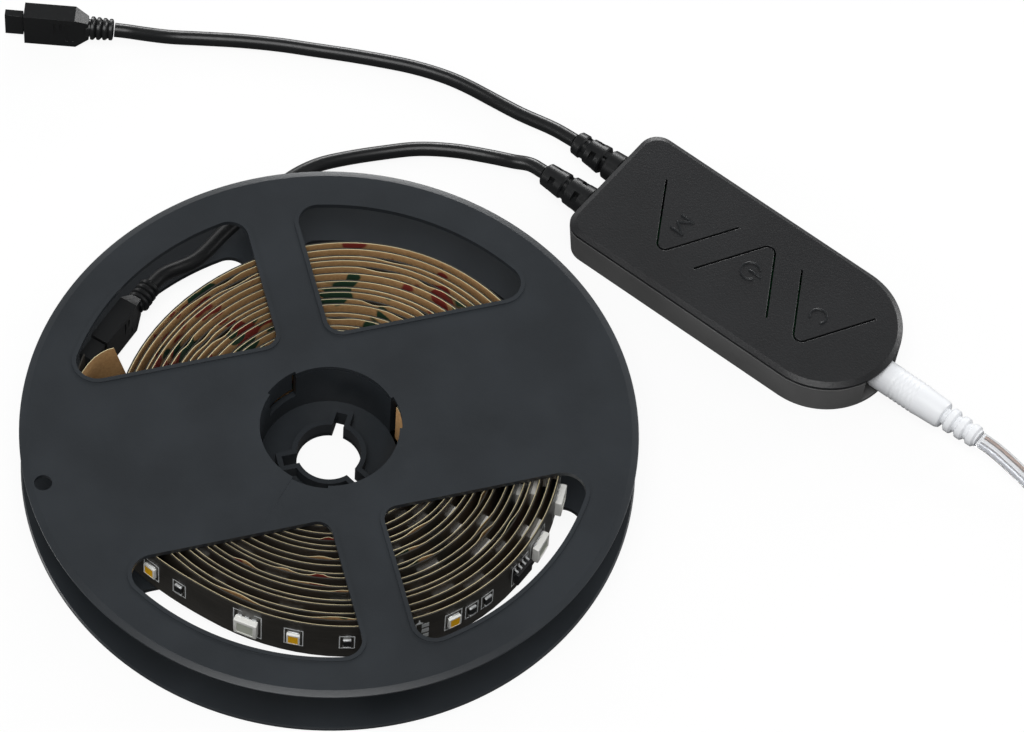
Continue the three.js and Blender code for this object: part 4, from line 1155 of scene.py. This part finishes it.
strap = brick((13.9, -2.4, 0.0), (25.6, 2.4, 10.9))
shape_by(strap, [brick((14.8, -4, -1), (24.9, 4, 10.1))])
soften(strap, 0.3, 3, 30)
stand(strap, on_reel(*COIL_AT), math.radians(60))
settle(strap, "coil_strap", tie_nylon, replaced=["coil_tie"], smooth=35)

# %% [markdown]
# The rest are parts of the measured model whose shapes are right: the board with its parts, the
# jack, the plug's barrel and the strip's socket. They only take their finishes.

# %% Finishes of the carried parts
CARRIED = {
    "circuit_board": green_board, "power_jack": chip_epoxy, "jack_pin": nickel_plate,
    "dc_plug_barrel": nickel_plate, "strip_socket": black_pvc, "capacitor": sleeve_pvc,
    "control_chip": chip_epoxy, "radio_chip": chip_epoxy,
    **{f"output_transistor_{i}": chip_epoxy for i in range(1, 5)},
    **{f"tact_switch_{i}": chip_epoxy for i in range(1, 4)},
}
for name, finish in CARRIED.items():
    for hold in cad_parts[name].material_slots:
        hold.material = finish
print("carried parts:", len(CARRIED))

# %% [markdown]

# %% [markdown]
# The table is a large white sheet. To the camera it is mostly plain white, with a light share of real
# shading left in it, so that the object keeps a soft shadow without a grey floor. A wide lamp
# hangs above, a little in front. Three small ones stand low behind and at the sides, where a rounded
# edge mirrors them as a thin line. The room is pale, and mirrors see its far walls as white.

# %% Table, lamps and room
bpy.ops.mesh.primitive_plane_add(size=6, location=(0, 0, -0.0001))
table = bpy.context.active_object
table.name = "table"
sheet_finish = bpy.data.materials.new("white_paper_sheet")
tree = emptied(sheet_finish)
seen = node(tree, "LightPath")
tone = node(tree, "MapRange", {"To Min": 0.1, "To Max": 0.9}, {"Value": seen.outputs["Is Camera Ray"]})
paper = node(tree, "BsdfDiffuse", links={"Color": tone})
white = node(tree, "Emission", {"Color": (1, 1, 1, 1), "Strength": 1.0})
either = node(tree, "Math", {"operation": "MAXIMUM"},
              {0: seen.outputs["Is Camera Ray"], 1: seen.outputs["Is Transmission Ray"]})
share = node(tree, "Math", {"operation": "MULTIPLY", 1: 0.9}, {0: either})
blend = node(tree, "MixShader", links={"Fac": share, 1: paper, 2: white})
node(tree, "OutputMaterial", links={"Surface": blend})
table.data.materials.append(sheet_finish)


def lamp(name, at, size, power):
    bpy.ops.object.light_add(type="AREA", location=at)
    light = bpy.context.active_object
    light.name = name
    light.data.shape, light.data.size, light.data.energy = "DISK", size, power
    light.rotation_euler = (-Vector(at)).to_track_quat("-Z", "Y").to_euler()


lamp("top_lamp", (-0.25, -0.45, 1.5), 1.1, 13)
lamp("back_edge_lamp", (0.5, 1.5, 0.4), 0.6, 8)
lamp("right_edge_lamp", (1.5, 0.5, 0.5), 0.6, 8)
lamp("left_edge_lamp", (-1.5, 0.4, 0.45), 0.6, 6)
room = bpy.data.worlds.new("pale_room")
bpy.context.scene.world = room
tree = emptied(room)
ray = node(tree, "LightPath")
shown = node(tree, "Math", {"operation": "MAXIMUM"},
             {0: ray.outputs["Is Camera Ray"], 1: ray.outputs["Is Transmission Ray"]})
facing = node(tree, "TexCoord").outputs["Generated"]
height = node(tree, "SeparateXYZ", links={"Vector": facing})
ceiling = node(tree, "MapRange", {"From Min": 0.05, "From Max": 0.9, "To Min": 0.42, "To Max": 0.55},
               {"Value": height.outputs["Z"]})
low = node(tree, "MapRange", {"From Min": 0.3, "From Max": 0.7, "To Min": 1.0, "To Max": 0.05},
           {"Value": height.outputs["Z"]})
behind = node(tree, "VectorMath", {"operation": "DOT_PRODUCT", 1: (0.55, 0.83, 0)}, {0: facing})
far = node(tree, "MapRange", {"From Min": -0.5, "From Max": 0.3, "To Min": 0.12, "To Max": 1.0},
           {"Value": behind.outputs["Value"]})
walls = node(tree, "Math", {"operation": "MULTIPLY"},
             {0: low, 1: far})
mirrored = node(tree, "Mix", links={
    0: ray.outputs["Is Glossy Ray"], 2: ceiling, 3: walls})
level = node(tree, "Math", {"operation": "MAXIMUM"},
             {0: mirrored, 1: shown})
sky = node(tree, "Background", {"Color": (1, 1, 1, 1)}, {"Strength": level})
node(tree, "OutputWorld", links={"Surface": sky})
bpy.context.scene.view_settings.view_transform = "Standard"
